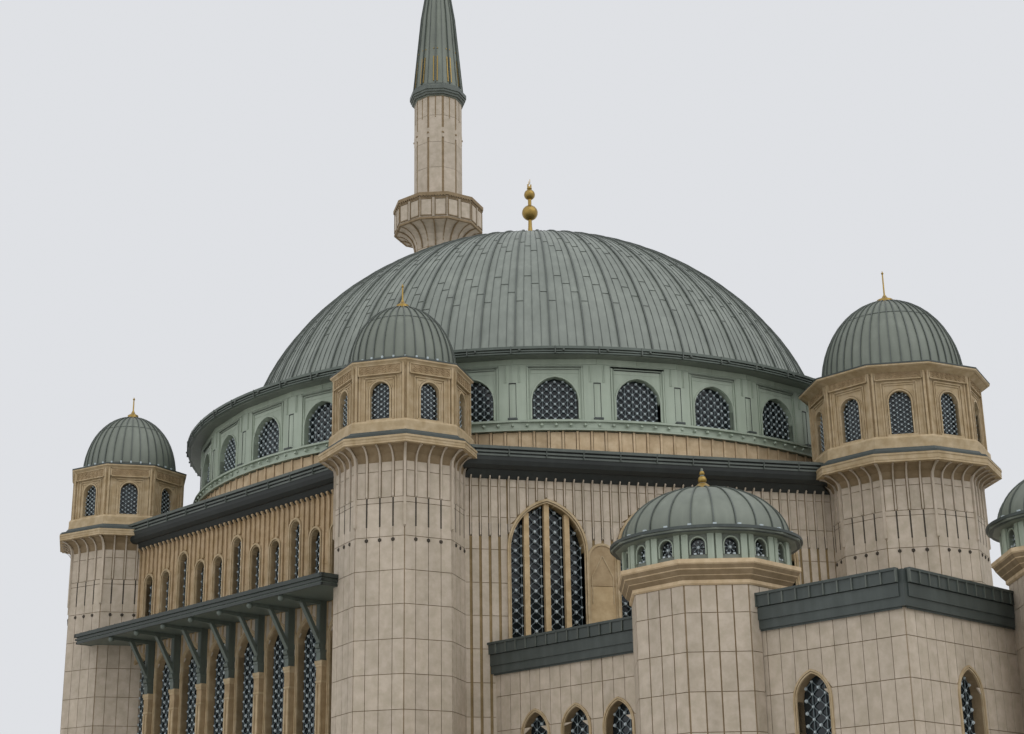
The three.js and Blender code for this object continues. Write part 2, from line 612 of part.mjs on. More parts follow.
add('canopy', canopy(), DARK_METAL);

// Minaret
const minaretTurn = Math.PI / MINARET_SIDES;
const raiseMinaret = (section) => moved(turned(section, MINARET_SIDES, minaretTurn), MINARET_X, MINARET_Y);

const minaretBase = rectangle(
  MINARET_X - MINARET_BASE_HALF, MINARET_X + MINARET_BASE_HALF,
  HALL_APOTHEM + GAP, MINARET_Y + MINARET_BASE_HALF,
);
const neckRadius = MINARET_BASE_HALF * MINARET_NECK_SHARE;
const minaretShaft = raiseMinaret([
  [0, MINARET_BASE_TOP - METRE],
  [MINARET_RADIUS, MINARET_BASE_TOP - METRE],
  [neckRadius, MINARET_BASE_TOP],
  [neckRadius, MINARET_NECK_FOOT],
  [MINARET_RADIUS + MINARET_NECK_RING.out, MINARET_NECK_TOP],
  [MINARET_RADIUS, MINARET_NECK_TOP + MINARET_NECK_RING.height],
  [MINARET_RADIUS, BALCONY_FOOT - GAP],
  [0, BALCONY_FOOT - GAP],
]);
const minaretFoot = prism(minaretBase, 0, MINARET_BASE_TOP);
add('minaret_shaft', union([minaretFoot, minaretShaft]), PALE_STONE);
add('minaret_balcony', raiseMinaret([
  [0, BALCONY_FOOT],
  ...quarter([MINARET_RADIUS, BALCONY_FOOT], [BALCONY_RADIUS - BALCONY_FLARE.in, BALCONY_FLARE.top], 5),
  [BALCONY_RADIUS, BALCONY_PANEL_FOOT],
  [BALCONY_RADIUS, BALCONY_TOP],
  [BALCONY_RADIUS - BALCONY_WALL, BALCONY_TOP],
  [BALCONY_RADIUS - BALCONY_WALL, BALCONY_FLOOR],
  [0, BALCONY_FLOOR],
]), PALE_STONE);
add('minaret_upper_shaft', raiseMinaret([
  [0, BALCONY_FLOOR + GAP], [MINARET_RADIUS, BALCONY_FLOOR + GAP],
  [MINARET_RADIUS, CONE_FOOT - GAP], [0, CONE_FOOT - GAP],
]), PALE_STONE);
add('minaret_cone', raiseMinaret([
  [0, CONE_FOOT], [MINARET_RADIUS, CONE_FOOT], [CONE_RING.radius, CONE_RING.bottom],
  [CONE_RING.radius, CONE_RING.top], [CONE_RADIUS, CONE_START], [CONE_WAIST.radius, CONE_WAIST.height],
  ...MINARET_FINIAL.map(([radius, below]) => [radius * METRE, CONE_TIP - below * METRE]),
  [0, CONE_TIP],
]), ROOF_METAL);

// Low wing: everything is cut clear of the hall, the corner tower and the turrets
const turretBaseSection = [
  [TURRET_BASE_RADIUS, 0],
  ...TURRET_CORNICE.map(([out, height]) => [TURRET_BASE_RADIUS + out * METRE, height * METRE]),
  [TURRET_BASE_RADIUS + TURRET_CORNICE.at(-1)[0] * METRE, TURRET_BASE_TOP],
];
const turretCorner = Math.PI / TURRET_BASE_SIDES;
const placeTurret = (manifold, { side, out }) => rotated(moved(manifold, side, -out), WING_TURN);
const corniceFoot = TURRET_CORNICE[0][1] * METRE;
const turretCutter = turned([
  [0, -METRE], [TURRET_BASE_RADIUS + 2 * GAP, -METRE],
  [TURRET_BASE_RADIUS + 2 * GAP, corniceFoot], [0, corniceFoot],
], TURRET_BASE_SIDES, turretCorner);
const wingNeighbours = union([
  hallOutside, shaftCutters, ...TURRETS.map((turret) => placeTurret(turretCutter, turret)),
]);
const layWing = (manifold) => rotated(manifold, WING_TURN).subtract(wingNeighbours);

const wingSpan = rectangle(-WING_HALF_WIDTH, WING_HALF_WIDTH, -WING_LENGTH, 0);
const wingInside = rectangle(
  -WING_HALF_WIDTH + WING_WALL, WING_HALF_WIDTH - WING_WALL, -WING_LENGTH + WING_WALL, METRE,
);

function wingWindows() {
  const end = [-1, 1].flatMap((side) => WING_END_WINDOWS.map((x) =>
    arch(WING_WINDOW, side * x * METRE, -WING_LENGTH - METRE, 3 * METRE)));
  const sides = [-1, 1].flatMap((side) => WING_SIDE_WINDOWS.map((out) => {
    const bar = arch(WING_WINDOW, 0, -WING_HALF_WIDTH - METRE, 3 * METRE);
    return moved(rotated(bar, side * Math.PI / 2), 0, -out * METRE);
  }));
  return union([...end, ...sides, ...doorway(-WING_LENGTH)]);
}

const wingShell = layWing(prism(wingSpan, 0, WING_WALL_TOP)
  .subtract(prism(wingInside, -METRE, WING_WALL_TOP + METRE))
  .subtract(wingWindows()));
const wingPieces = wingShell.decompose();

// The shell falls into three pieces, told apart by how far each lies to the side of the wing
function wingWallName(manifold) {
  const { min, max } = rotated(manifold, -WING_TURN).boundingBox();
  const aside = (min[0] + max[0]) / 2;
  if (Math.abs(aside) < METRE) return 'wing_outer_wall';
  return aside < 0 ? 'wing_left_wall' : 'wing_right_wall';
}
for (const piece of wingPieces) add(wingWallName(piece), piece, PALE_STONE);

const wingFloor = rectangle(
  -WING_HALF_WIDTH + WING_WALL + GAP, WING_HALF_WIDTH - WING_WALL - GAP,
  -WING_LENGTH + WING_WALL + GAP, -WING_FLOOR_END,
);
add('wing_floor', layWing(prism(wingFloor, 0, FLOOR_TOP)), FLOOR_STONE);

function wingRoof() {
  const half = WING_HALF_WIDTH + WING_OVERHANG;
  const length = WING_LENGTH + WING_OVERHANG;
  const plate = rectangle(-half, half, -length, 0);
  const well = rectangle(
    -half + PARAPET_THICKNESS, half - PARAPET_THICKNESS, -length + PARAPET_THICKNESS, METRE,
  );
  return prism(plate, WING_WALL_TOP + GAP, PARAPET_TOP)
    .subtract(prism(well, WING_ROOF_TOP, PARAPET_TOP + METRE));
}
add('wing_roof', layWing(wingRoof()), DARK_METAL);

// Turrets: an eight-sided stone base, then a metal drum and dome in one shell
function turretBase() {
  const inner = TURRET_BASE_RADIUS - TOWER_WALL;
  const section = [...turretBaseSection, [inner, TURRET_BASE_TOP], [inner, 0]];
  return turned(section, TURRET_BASE_SIDES, turretCorner);
}

function turretDome() {
  const bottom = TURRET_BASE_TOP + GAP;
  const inside = TURRET_DRUM_RADIUS - TURRET_DOME_SHELL;
  const foot = [TURRET_EAVE_RADIUS - TURRET_DOME_FOOT.in, TURRET_EAVE_TOP + TURRET_DOME_FOOT.up];
  const eaveBottom = TURRET_EAVE_TOP - TURRET_EAVE.edge;
  const outer = quarter(foot, [0, TURRET_DOME_TOP], 4).slice(0, -1);
  const inner = quarter([inside, TURRET_EAVE_TOP], [0, TURRET_DOME_TOP - 2 * TURRET_DOME_SHELL], 2);
  const section = [
    ...inner.reverse(),
    [inside, bottom],
    [TURRET_DRUM_RADIUS, bottom],
    [TURRET_DRUM_RADIUS, eaveBottom - TURRET_EAVE.rise],
    [TURRET_EAVE_RADIUS, eaveBottom],
    [TURRET_EAVE_RADIUS, TURRET_EAVE_TOP],
    ...outer,
    [TURRET_COLLAR.radius, TURRET_DOME_TOP],
    [TURRET_COLLAR.neck, TURRET_DOME_TOP + TURRET_COLLAR.height],
    [TURRET_COLLAR.point, TURRET_TIP],
    [0, TURRET_TIP],
  ];
  const windows = Array.from({ length: TURRET_WINDOWS }, (_, i) => {
    const bar = arch(TURRET_WINDOW, 0, -TURRET_DRUM_RADIUS - METRE, 2 * METRE);
    return rotated(bar, ((i + 0.5) * TURN) / TURRET_WINDOWS);
  });
  return turned(section, TURRET_WINDOWS).subtract(union(windows));
}

for (const turret of TURRETS) {
  add(`turret_base_${turret.name}`, placeTurret(turretBase(), turret), PALE_STONE);
  add(`turret_dome_${turret.name}`, placeTurret(turretDome(), turret), ROOF_METAL);
}

export default building;
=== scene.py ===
import math

import bmesh
import bpy
from mathutils import Matrix, Vector


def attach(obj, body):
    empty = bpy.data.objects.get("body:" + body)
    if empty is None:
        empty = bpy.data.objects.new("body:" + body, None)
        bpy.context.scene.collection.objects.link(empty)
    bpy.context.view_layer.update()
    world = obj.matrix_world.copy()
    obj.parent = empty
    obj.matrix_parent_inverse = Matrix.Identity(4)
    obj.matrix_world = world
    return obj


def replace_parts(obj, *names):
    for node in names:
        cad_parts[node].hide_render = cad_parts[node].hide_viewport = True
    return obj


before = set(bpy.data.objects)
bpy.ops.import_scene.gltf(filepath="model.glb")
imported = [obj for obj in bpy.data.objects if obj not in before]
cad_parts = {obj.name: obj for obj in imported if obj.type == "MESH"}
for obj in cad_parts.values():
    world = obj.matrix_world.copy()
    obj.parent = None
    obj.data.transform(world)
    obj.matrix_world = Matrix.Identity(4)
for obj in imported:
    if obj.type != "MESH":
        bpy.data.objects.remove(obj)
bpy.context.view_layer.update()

# The studio: a pale floor, an even pale sky and two wide soft lamps. The camera stands where the
# photographer stood, in the street in front of the building, and looks up at the dome.
HALF = 0.5
CAMERA_PLACE = (-8.955, -33.365, 0.85)
CAMERA_HEADING = -14.254
CAMERA_PITCH = 18.595
CAMERA_ROLL = -0.96
LENS = 58.29
SENSOR = 36.0
SKY = "#E4E6EA"
SKY_STRENGTH = 0.95
LAMPS = (("soft_left", 35, -48, 0.85, 60), ("soft_right", -60, -40, 0.45, 80))
FLOOR = "#BFBDB8"
FLOOR_RADIUS = 120
FLOOR_DROP = 0.002


def linear(hex_colour):
    """An sRGB hex colour as the linear values that a shader takes."""
    parts = [int(hex_colour[i:i + 2], 16) / 255 for i in (1, 3, 5)]
    return tuple(c / 12.92 if c <= 0.04045 else ((c + 0.055) / 1.055) ** 2.4 for c in parts) + (1.0,)


def node(tree, kind, settings=None, **links):
    """Add a shader node, set its sockets and attributes, and link other nodes' outputs into it."""
    new = tree.nodes.new(kind)
    for key, value in (settings or {}).items():
        if hasattr(new, str(key)):
            setattr(new, key, value)
        else:
            new.inputs[key].default_value = value
    for socket, output in links.items():
        name = socket.replace("_", " ")
        target = new.inputs[int(name[1:])] if name[0] == "i" and name[1:].isdigit() else new.inputs[name]
        tree.links.new(output, target)
    return new


def new_material(name):
    """An empty node material: its tree and its shader."""
    material = bpy.data.materials.new(name)
    material.use_nodes = True
    return material, material.node_tree, material.node_tree.nodes["Principled BSDF"]


def aim(heading, pitch, roll=0.0):
    """How a camera or lamp is turned to look along a heading, clockwise from +Y, and a pitch upwards."""
    turn = Matrix.Rotation(math.radians(heading), 4, "Z")
    lift = Matrix.Rotation(math.radians(90 + pitch), 4, "X")
    return turn @ lift @ Matrix.Rotation(math.radians(roll), 4, "Z")


camera_data = bpy.data.cameras.new("photo_camera")
camera_data.lens = LENS
camera_data.sensor_width = SENSOR
camera_data.sensor_fit = "HORIZONTAL"
camera_data.clip_end = 500
camera = bpy.data.objects.new("photo_camera", camera_data)
camera.matrix_world = Matrix.Translation(CAMERA_PLACE) @ aim(CAMERA_HEADING, CAMERA_PITCH, CAMERA_ROLL)
bpy.context.collection.objects.link(camera)
bpy.context.scene.camera = camera
bpy.context.scene.view_settings.view_transform = "Standard"

world = bpy.data.worlds.new("studio_sky")
world.use_nodes = True
world.node_tree.nodes["Background"].inputs["Color"].default_value = linear(SKY)
world.node_tree.nodes["Background"].inputs["Strength"].default_value = SKY_STRENGTH
bpy.context.scene.world = world

for lamp_name, heading, pitch, energy, spread in LAMPS:
    lamp = bpy.data.lights.new(lamp_name, "SUN")
    lamp.energy = energy
    lamp.angle = math.radians(spread)
    lamp_object = bpy.data.objects.new(lamp_name, lamp)
    lamp_object.matrix_world = aim(heading, pitch)
    bpy.context.collection.objects.link(lamp_object)

floor_mesh = bpy.data.meshes.new("studio_floor")
floor_bm = bmesh.new()
bmesh.ops.create_circle(floor_bm, cap_ends=True, segments=64, radius=FLOOR_RADIUS)
bmesh.ops.translate(floor_bm, verts=floor_bm.verts, vec=(0, 0, -FLOOR_DROP))
floor_bm.to_mesh(floor_mesh)
floor_object = bpy.data.objects.new("studio_floor", floor_mesh)
floor_material, _, floor_shader = new_material("matt_pale_floor")
floor_shader.inputs["Base Color"].default_value = linear(FLOOR)
floor_shader.inputs["Roughness"].default_value = 0.9
floor_mesh.materials.append(floor_material)
bpy.context.collection.objects.link(floor_object)


# Stone: the whole hall is faced with honed limestone slabs about a metre high, cool beige with a
# fine mottle. Carved members are a warmer sandstone. Each slab differs a little from the next.
PALE_STONE = ("#B5A896", "#ACA08D", "#BEB1A0")
WARM_STONE = ("#AE9A79", "#A28D6A", "#B9A687")
RIB_STONE = ("#AD9573", "#A18964", "#B7A07F")
RECESS_STONE = ("#867357", "#7D6A4E", "#8F7C60")
STONE_MOTTLE = 0.16
STONE_GRAIN = 0.012
GRAIN_DEPTH = 0.003
RAIN_STRETCH = (3.0, 3.0, 0.25)
RAIN_SCALE = 1.6


def lay_colour(tree, shader, pattern, edges, colours, tone):
    """Three close colours spread over a pattern, each made darker or lighter by a tone."""
    base, dark, light = (linear(c) for c in colours)
    ramp = node(tree, "ShaderNodeValToRGB", Fac=pattern)
    for end, edge, colour in zip(ramp.color_ramp.elements, edges, (dark, light)):
        end.position = edge
        end.color = colour
    ramp.color_ramp.elements.new(0.5).color = base
    toned = node(tree, "ShaderNodeVectorMath", {"operation": "SCALE"}, Vector=ramp.outputs["Color"],
                 Scale=tone)
    tree.links.new(toned.outputs["Vector"], shader.inputs["Base Color"])


def stone(name, colours, tone_range=0.06):
    """Honed stone: mottled colour, a tone of its own for each slab, faint rain streaks, matt."""
    material, tree, shader = new_material(name)
    place = node(tree, "ShaderNodeTexCoord").outputs["Object"]
    mottle = node(tree, "ShaderNodeTexNoise", {"Scale": 1 / STONE_MOTTLE, "Detail": 6.0, "Roughness": 0.6},
                  Vector=place)
    grain = node(tree, "ShaderNodeTexNoise", {"Scale": 1 / STONE_GRAIN, "Detail": 3.0}, Vector=place)
    tall = node(tree, "ShaderNodeMapping", {"Scale": RAIN_STRETCH}, Vector=place)
    streak = node(tree, "ShaderNodeTexNoise", {"Scale": RAIN_SCALE, "Detail": 4.0},
                  Vector=tall.outputs["Vector"])
    slab = node(tree, "ShaderNodeNewGeometry").outputs["Random Per Island"]
    slab_tone = node(tree, "ShaderNodeMapRange", {"To Min": 1 - tone_range, "To Max": 1 + tone_range},
                     Value=slab)
    streak_tone = node(tree, "ShaderNodeMapRange",
                       {"From Min": 0.35, "From Max": 0.7, "To Min": 1.03, "To Max": 0.94},
                       Value=streak.outputs["Fac"])
    tone = node(tree, "ShaderNodeMath", {"operation": "MULTIPLY"}, i0=slab_tone.outputs["Result"],
                i1=streak_tone.outputs["Result"])
    lay_colour(tree, shader, mottle.outputs["Fac"], (0.34, 0.66), colours, tone.outputs["Value"])
    rough = node(tree, "ShaderNodeMapRange", {"To Min": 0.72, "To Max": 0.92}, Value=grain.outputs["Fac"])
    tree.links.new(rough.outputs["Result"], shader.inputs["Roughness"])
    bump = node(tree, "ShaderNodeBump", {"Strength": 0.2, "Distance": GRAIN_DEPTH},
                Height=grain.outputs["Fac"])
    tree.links.new(bump.outputs["Normal"], shader.inputs["Normal"])
    return material


pale_stone = stone("honed_limestone", PALE_STONE)
warm_stone = stone("carved_sandstone", WARM_STONE, 0.05)
rib_stone = stone("ribbed_sandstone", RIB_STONE, 0.08)
recess_stone = stone("shaded_joint_stone", RECESS_STONE, 0.03)

# Slots and joints are painted near black as painted shade, for the shade that falls in them, and the
# grooves between the slabs are ochre
shadow_stone = stone("painted_shadow_slot_stone", ("#3A3329", "#332C23", "#443C31"), 0.03)
groove_stone = stone("ochre_groove_stone", ("#84704C", "#786542", "#8F7B58"), 0.1)

# The ring under the drum is a sandstone made paler as painted light, to offset the shade under the drum's
# ledge, and the flat roof of the wing has concrete pavers
ring_stone = stone("pale_sandstone", ("#C3AC8A", "#B79F7D", "#CEB897"), 0.06)
paver_stone = stone("concrete_paver", ("#B9B4A9", "#ADA89D", "#C4BFB4"), 0.08)

# Mullions and the backs of the blind niches are cut from a yellower and a browner sandstone
mullion_stone = stone("yellow_mullion_stone", ("#B39B75", "#A78F69", "#BEA782"), 0.06)
niche_stone = stone("brown_niche_stone", ("#A08A69", "#957F5E", "#AB9574"), 0.08)


# Sheet metal: the drum is clad in panels painted sage green, the domes in grey-green standing seam
# sheet, the eaves in darker sheet. All of it is satin, a little dulled and streaked by weather.
# The sage is partly the paint's own colour and partly painted light: it is made lighter to offset the shade
# the cornice casts on the drum
SAGE = ("#A0AB9A", "#98A392", "#AAB5A4")
CANOPY_GREY = ("#5B645C", "#555D56", "#626B64")
DOME_GREY = ("#7A8078", "#727870", "#868C83")
SMALL_DOME_GREY = ("#73796E", "#6B7167", "#7E8479")
SEAM_GREY = ("#555B55", "#4C524C", "#60665F")
EAVE_DARK = ("#3F4643", "#383F3C", "#4A514E")
FASCIA_DARK = ("#343A36", "#2E3430", "#3B413D")
# The soffit sheet is near black as painted shade: it dresses the eave cove and the drum's slots, which lie
# in shade, and the hall roof too
SOFFIT_DARK = ("#2A2E2C", "#262928", "#313533")


def sheet_metal(name, colours, roughness=0.5, metallic=0.1, patch=1.3):
    """Painted or weathered sheet: broad faint patches, rain streaks, satin sheen."""
    material, tree, shader = new_material(name)
    place = node(tree, "ShaderNodeTexCoord").outputs["Object"]
    patches = node(tree, "ShaderNodeTexNoise", {"Scale": patch, "Detail": 5.0, "Roughness": 0.6},
                   Vector=place)
    tall = node(tree, "ShaderNodeMapping", {"Scale": (6.0, 6.0, 0.5)}, Vector=place)
    streak = node(tree, "ShaderNodeTexNoise", {"Scale": 1.5, "Detail": 5.0}, Vector=tall.outputs["Vector"])
    both = node(tree, "ShaderNodeMix", {"data_type": "FLOAT", "Factor": 0.45}, A=patches.outputs["Fac"],
                B=streak.outputs["Fac"])
    sheet = node(tree, "ShaderNodeNewGeometry").outputs["Random Per Island"]
    tone = node(tree, "ShaderNodeMapRange", {"To Min": 0.94, "To Max": 1.06}, Value=sheet)
    lay_colour(tree, shader, both.outputs["Result"], (0.36, 0.64), colours, tone.outputs["Result"])
    rough = node(tree, "ShaderNodeMapRange", {"To Min": roughness - 0.1, "To Max": roughness + 0.12},
                 Value=streak.outputs["Fac"])
    tree.links.new(rough.outputs["Result"], shader.inputs["Roughness"])
    shader.inputs["Metallic"].default_value = metallic
    dents = node(tree, "ShaderNodeBump", {"Strength": 0.12, "Distance": 0.01},
                 Height=patches.outputs["Fac"])
    tree.links.new(dents.outputs["Normal"], shader.inputs["Normal"])
    return material


sage_metal = sheet_metal("sage_painted_sheet", SAGE, metallic=0.05)
canopy_metal = sheet_metal("grey_green_canopy_sheet", CANOPY_GREY, metallic=0.05)
dome_metal = sheet_metal("weathered_dome_sheet", DOME_GREY)
small_dome_metal = sheet_metal("weathered_small_dome_sheet", SMALL_DOME_GREY)
seam_metal = sheet_metal("folded_seam_sheet", SEAM_GREY)
eave_metal = sheet_metal("dark_eave_sheet", EAVE_DARK)
fascia_metal = sheet_metal("dark_fascia_sheet", FASCIA_DARK)
soffit_metal = sheet_metal("dark_soffit_sheet", SOFFIT_DARK, roughness=0.6)


# Gilding on the finials, dark window glass, and the pale cast tracery that stands in front of it
GOLD = "#9C8248"
GLASS_DARK = "#1C2326"
TRACERY = ("#5F6A6D", "#566164", "#6E797C")
STUD = "#B4BFC2"


def gilding():
    """Gold leaf on copper: warm, bright, a little uneven."""
    material, tree, shader = new_material("worn_gilding")
    place = node(tree, "ShaderNodeTexCoord").outputs["Object"]
    wear = node(tree, "ShaderNodeTexNoise", {"Scale": 9.0, "Detail": 5.0}, Vector=place)
    shader.inputs["Base Color"].default_value = linear(GOLD)
    shader.inputs["Metallic"].default_value = 0.85
    rough = node(tree, "ShaderNodeMapRange", {"To Min": 0.22, "To Max": 0.5}, Value=wear.outputs["Fac"])
    tree.links.new(rough.outputs["Result"], shader.inputs["Roughness"])
    return material


def window_glass():
    """Dark tinted panes, slightly wavy, so that they mirror the sky unevenly."""
    material, tree, shader = new_material("dark_window_glass")
    place = node(tree, "ShaderNodeTexCoord").outputs["Object"]
    waves = node(tree, "ShaderNodeTexNoise", {"Scale": 2.2, "Detail": 2.0}, Vector=place)
    shader.inputs["Base Color"].default_value = linear(GLASS_DARK)
    shader.inputs["Roughness"].default_value = 0.12
    bump = node(tree, "ShaderNodeBump", {"Strength": 0.15, "Distance": 0.02}, Height=waves.outputs["Fac"])
    tree.links.new(bump.outputs["Normal"], shader.inputs["Normal"])
    return material


gold_leaf = gilding()
glass = window_glass()
tracery = sheet_metal("cast_window_tracery", TRACERY, patch=4.0)
stud_material, _, stud_shader = new_material("pale_tracery_studs")
stud_shader.inputs["Base Color"].default_value = linear(STUD)
stud_shader.inputs["Roughness"].default_value = 0.4


# Carried-over solids: walls and shafts show only in the joints between the slabs that face them,
# so they take the shaded stone; roofs, ledges and glass take their own finish.
def dress(node_name, material):
    """Give a construction node its finish."""
    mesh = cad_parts[node_name].data
    mesh.materials.clear()
    mesh.materials.append(material)


for side_name in ("front", "right_front", "right_back", "back", "left_back", "left_front"):
    dress(f"{side_name}_wall", niche_stone if side_name == "left_front" else groove_stone)
    dress(f"{side_name}_glass", glass)
for corner_name in ("right", "back_right", "back_left", "left", "front_left", "front_right"):
    dress(f"tower_{corner_name}_shaft", recess_stone)
    dress(f"tower_{corner_name}_lantern", warm_stone)
    dress(f"tower_{corner_name}_dome", small_dome_metal)
for turret_name in ("left", "right", "end_left", "end_right"):
    dress(f"turret_base_{turret_name}", recess_stone)
    dress(f"turret_dome_{turret_name}", small_dome_metal)
for node_name, material in (
    ("hall_floor", pale_stone), ("hall_roof", soffit_metal), ("drum_base", recess_stone),
    ("drum_ledge", sage_metal), ("drum_wall_front_right", sage_metal), ("drum_wall_back", sage_metal),
    ("drum_wall_left", sage_metal), ("drum_glass", glass), ("drum_cornice", dome_metal),
    ("main_dome", dome_metal), ("main_finial", gold_leaf), ("canopy", canopy_metal),
    ("front_window_wall", groove_stone), ("minaret_shaft", recess_stone), ("minaret_balcony", pale_stone),
    ("minaret_upper_shaft", recess_stone), ("minaret_cone", small_dome_metal),
    ("wing_outer_wall", recess_stone), ("wing_left_wall", recess_stone), ("wing_right_wall", recess_stone),
    ("wing_floor", pale_stone), ("wing_roof", eave_metal),
):
    dress(node_name, material)


# Main dome: standing-seam sheet on a shell. Sixty strong folded seams run up to the finial, with three
# finer seams between each pair and level joints that step from strip to strip.
DOME = {"radius": 12.6, "rise": 10.985, "centre": 19.18, "foot": 21.08}
DOME_SHELL = 0.4
SEAM_COUNT = 60
SEAM_WIDTH = 0.055
SEAM_HEIGHT = 0.06
FINE_WIDTH = 0.02
FINE_HEIGHT = 0.022
FINE_END = 1.32
SEAM_END = 1.53
MIDDLE_END = 1.45
DOME_SIDES = 120
DOME_JOINTS = (0.42, 0.74, 1.06)
JOINT_STEP = 0.045
JOINT_PROUD = 0.014
JOINT_BACK = 0.05


def piece(name, bm, material, place=Matrix(), smooth=None):
    """A finished shape, drawn in metres of the real building, as a half-scale piece of the model."""
    bmesh.ops.recalc_face_normals(bm, faces=bm.faces)
    mesh = bpy.data.meshes.new(name)
    bm.to_mesh(mesh)
    mesh.transform(Matrix.Scale(HALF, 4) @ place)
    mesh.materials.append(material)
    if smooth:
        mesh.polygons.foreach_set("use_smooth", [True] * len(mesh.polygons))
        mesh.set_sharp_from_angle(angle=math.radians(smooth))
    new = bpy.data.objects.new(name, mesh)
    bpy.context.collection.objects.link(new)
    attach(new, "root")
    return new


def grow(bm, face, vec):
    """Thicken a flat face into a closed body."""
    new = bmesh.ops.extrude_face_region(bm, geom=[face], use_keep_orig=True)["geom"]
    bmesh.ops.translate(bm, verts=[v for v in new if isinstance(v, bmesh.types.BMVert)], vec=vec)


def rib(bm, outline, x):
    """A flat bar that stands out from the building: (distance out, height) points and a width."""
    face = bm.faces.new([bm.verts.new((x[0], -out, z)) for out, z in outline])
    grow(bm, face, (x[1] - x[0], 0, 0))


def ring(bm, profile, steps, closed=True):
    """A profile of (radius, height) points swept round the upright axis, with a flat towards -Y."""
    start = Matrix.Rotation(math.pi / steps, 4, "Z")
    verts = [bm.verts.new(start @ Vector((0, -r, z))) for r, z in profile]
    edges = [bm.edges.new(pair) for pair in zip(verts, verts[1:])]
    if closed:
        edges.append(bm.edges.new((verts[-1], verts[0])))
    bmesh.ops.spin(bm, geom=verts + edges, cent=(0, 0, 0), axis=(0, 0, 1), angle=math.tau, steps=steps,
                   use_merge=True)
    bmesh.ops.remove_doubles(bm, verts=[v for v in bm.verts if v.co.xy.length < 0.001], dist=0.001)


def around(bm, count):
    """Repeat all that has been drawn so far, evenly round the upright axis."""
    bmesh.ops.spin(bm, geom=bm.verts[:] + bm.edges[:] + bm.faces[:], cent=(0, 0, 0), axis=(0, 0, 1),
                   angle=math.tau * (count - 1) / count, steps=count - 1, use_duplicate=True)


def add_to(bm, part):
    """Add a part that was drawn on its own."""
    copy = bpy.data.meshes.new("drawn_part")
    part.to_mesh(copy)
    bm.from_mesh(copy)


def turned_by(bm, degrees):
    """Turn all that has been drawn so far about the upright axis."""
    bmesh.ops.rotate(bm, verts=bm.verts, cent=(0, 0, 0),
                     matrix=Matrix.Rotation(math.radians(degrees), 3, "Z"))


def dome_curve(shape, inset, start, end, steps):
    """Points up a half ellipse, between two angles above its centre."""
    angles = [start + (end - start) * i / steps for i in range(steps + 1)]
    return [((shape["radius"] - inset) * math.cos(a),
             shape["centre"] + (shape["rise"] - inset) * math.sin(a)) for a in angles]


def seam(bm, shape, height, width, start, end, steps=14):
    """A folded seam that lies along the dome."""
    outer = dome_curve(shape, -height, start, end, steps)
    inner = dome_curve(shape, 0.03, start, end, steps)
    rib(bm, outer + inner[::-1], (-width / 2, width / 2))


dome_start = math.asin((DOME["foot"] - DOME["centre"]) / DOME["rise"])
dome_inner_start = math.asin((DOME["foot"] - DOME["centre"]) / (DOME["rise"] - DOME_SHELL))
dome_shell = bmesh.new()
dome_inside = dome_curve(DOME, DOME_SHELL, dome_inner_start, math.pi / 2, 16)[::-1]
ring(dome_shell, dome_inside + dome_curve(DOME, 0, dome_start, math.pi / 2, 28), DOME_SIDES, closed=False)
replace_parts(piece("main_dome_skin", dome_shell, dome_metal, smooth=40), "main_dome")

strong_seams = bmesh.new()
seam(strong_seams, DOME, SEAM_HEIGHT, SEAM_WIDTH, dome_start, SEAM_END, 24)
around(strong_seams, SEAM_COUNT)
piece("main_dome_seams", strong_seams, seam_metal, smooth=50)

fine_seams = bmesh.new()
for i in (-1, 0, 1):
    fine = bmesh.new()
    seam(fine, DOME, FINE_HEIGHT, FINE_WIDTH, dome_start, FINE_END if i else MIDDLE_END, 16)
    turned_by(fine, 180 / SEAM_COUNT + i * 90 / SEAM_COUNT)
    add_to(fine_seams, fine)
around(fine_seams, SEAM_COUNT)
piece("main_dome_fine_seams", fine_seams, seam_metal, smooth=50)

level_joints = bmesh.new()
strip = 90 / SEAM_COUNT
for tier, angle in enumerate(DOME_JOINTS):
    for i in range(8):
        step = angle + JOINT_STEP * ((i * 3 + tier * 2) % 4)
        (low_out, low_z), (high_out, high_z) = dome_curve(DOME, -JOINT_PROUD, step, step + 0.0016, 1)
        reach = low_out * math.radians(strip / 2)
        joint = bmesh.new()
        rib(joint, [(low_out, low_z), (high_out, high_z), (high_out - JOINT_BACK, high_z),
                    (low_out - JOINT_BACK, low_z)], (-reach, reach))
        turned_by(joint, strip * (i + 0.5))
        add_to(level_joints, joint)
around(level_joints, SEAM_COUNT // 2)
piece("main_dome_level_joints", level_joints, seam_metal)


# Cornice of the drum: a gutter drawn in three lines under a low metal slope, with a fine rail of
# snow guards. A joint and a bright cap stand every six degrees.
CORNICE_LINES = ((14.7, 20.485, 20.53), (14.73, 20.56, 20.6), (14.76, 20.645, 20.74))
GUTTER_BACK = 14.5
GUARD_RADIUS = 14.15
GUARD_HEIGHT = 20.9
GUARD_HALF = 0.012
GUARD_POSTS = 180


def block(bm, x, y, z):
    """A box between three pairs of limits."""
    size = Matrix.Diagonal((x[1] - x[0], y[1] - y[0], z[1] - z[0], 1))
    middle = Matrix.Translation([(low + high) / 2 for low, high in (x, y, z)])
    return bmesh.ops.create_cube(bm, size=1, matrix=middle @ size)["verts"]


def relief(face, out, back=0.01):
    """Front and back of a moulding that stands out from a wall's face and is let into it."""
    return -face - out, -face + back


def hoop(bm, inner, outer, low, high, steps):
    """A flat band of a square section round the upright axis."""
    ring(bm, [(inner, low), (outer, low), (outer, high), (inner, high)], steps)


gutter = bmesh.new()
for radius, low, high in CORNICE_LINES:
    hoop(gutter, GUTTER_BACK, radius, low, high, DOME_SIDES)
piece("cornice_lines", gutter, canopy_metal, smooth=30)

gutter_joints = bmesh.new()
block(gutter_joints, (-0.018, 0.018), (-14.775, -14.6), (20.485, 20.745))
rib(gutter_joints, [(14.66, 20.72), (14.64, 20.765), (12.72, 21.135), (12.72, 21.1)], (-0.025, 0.025))
around(gutter_joints, SEAM_COUNT)
piece("cornice_joints", gutter_joints, seam_metal)

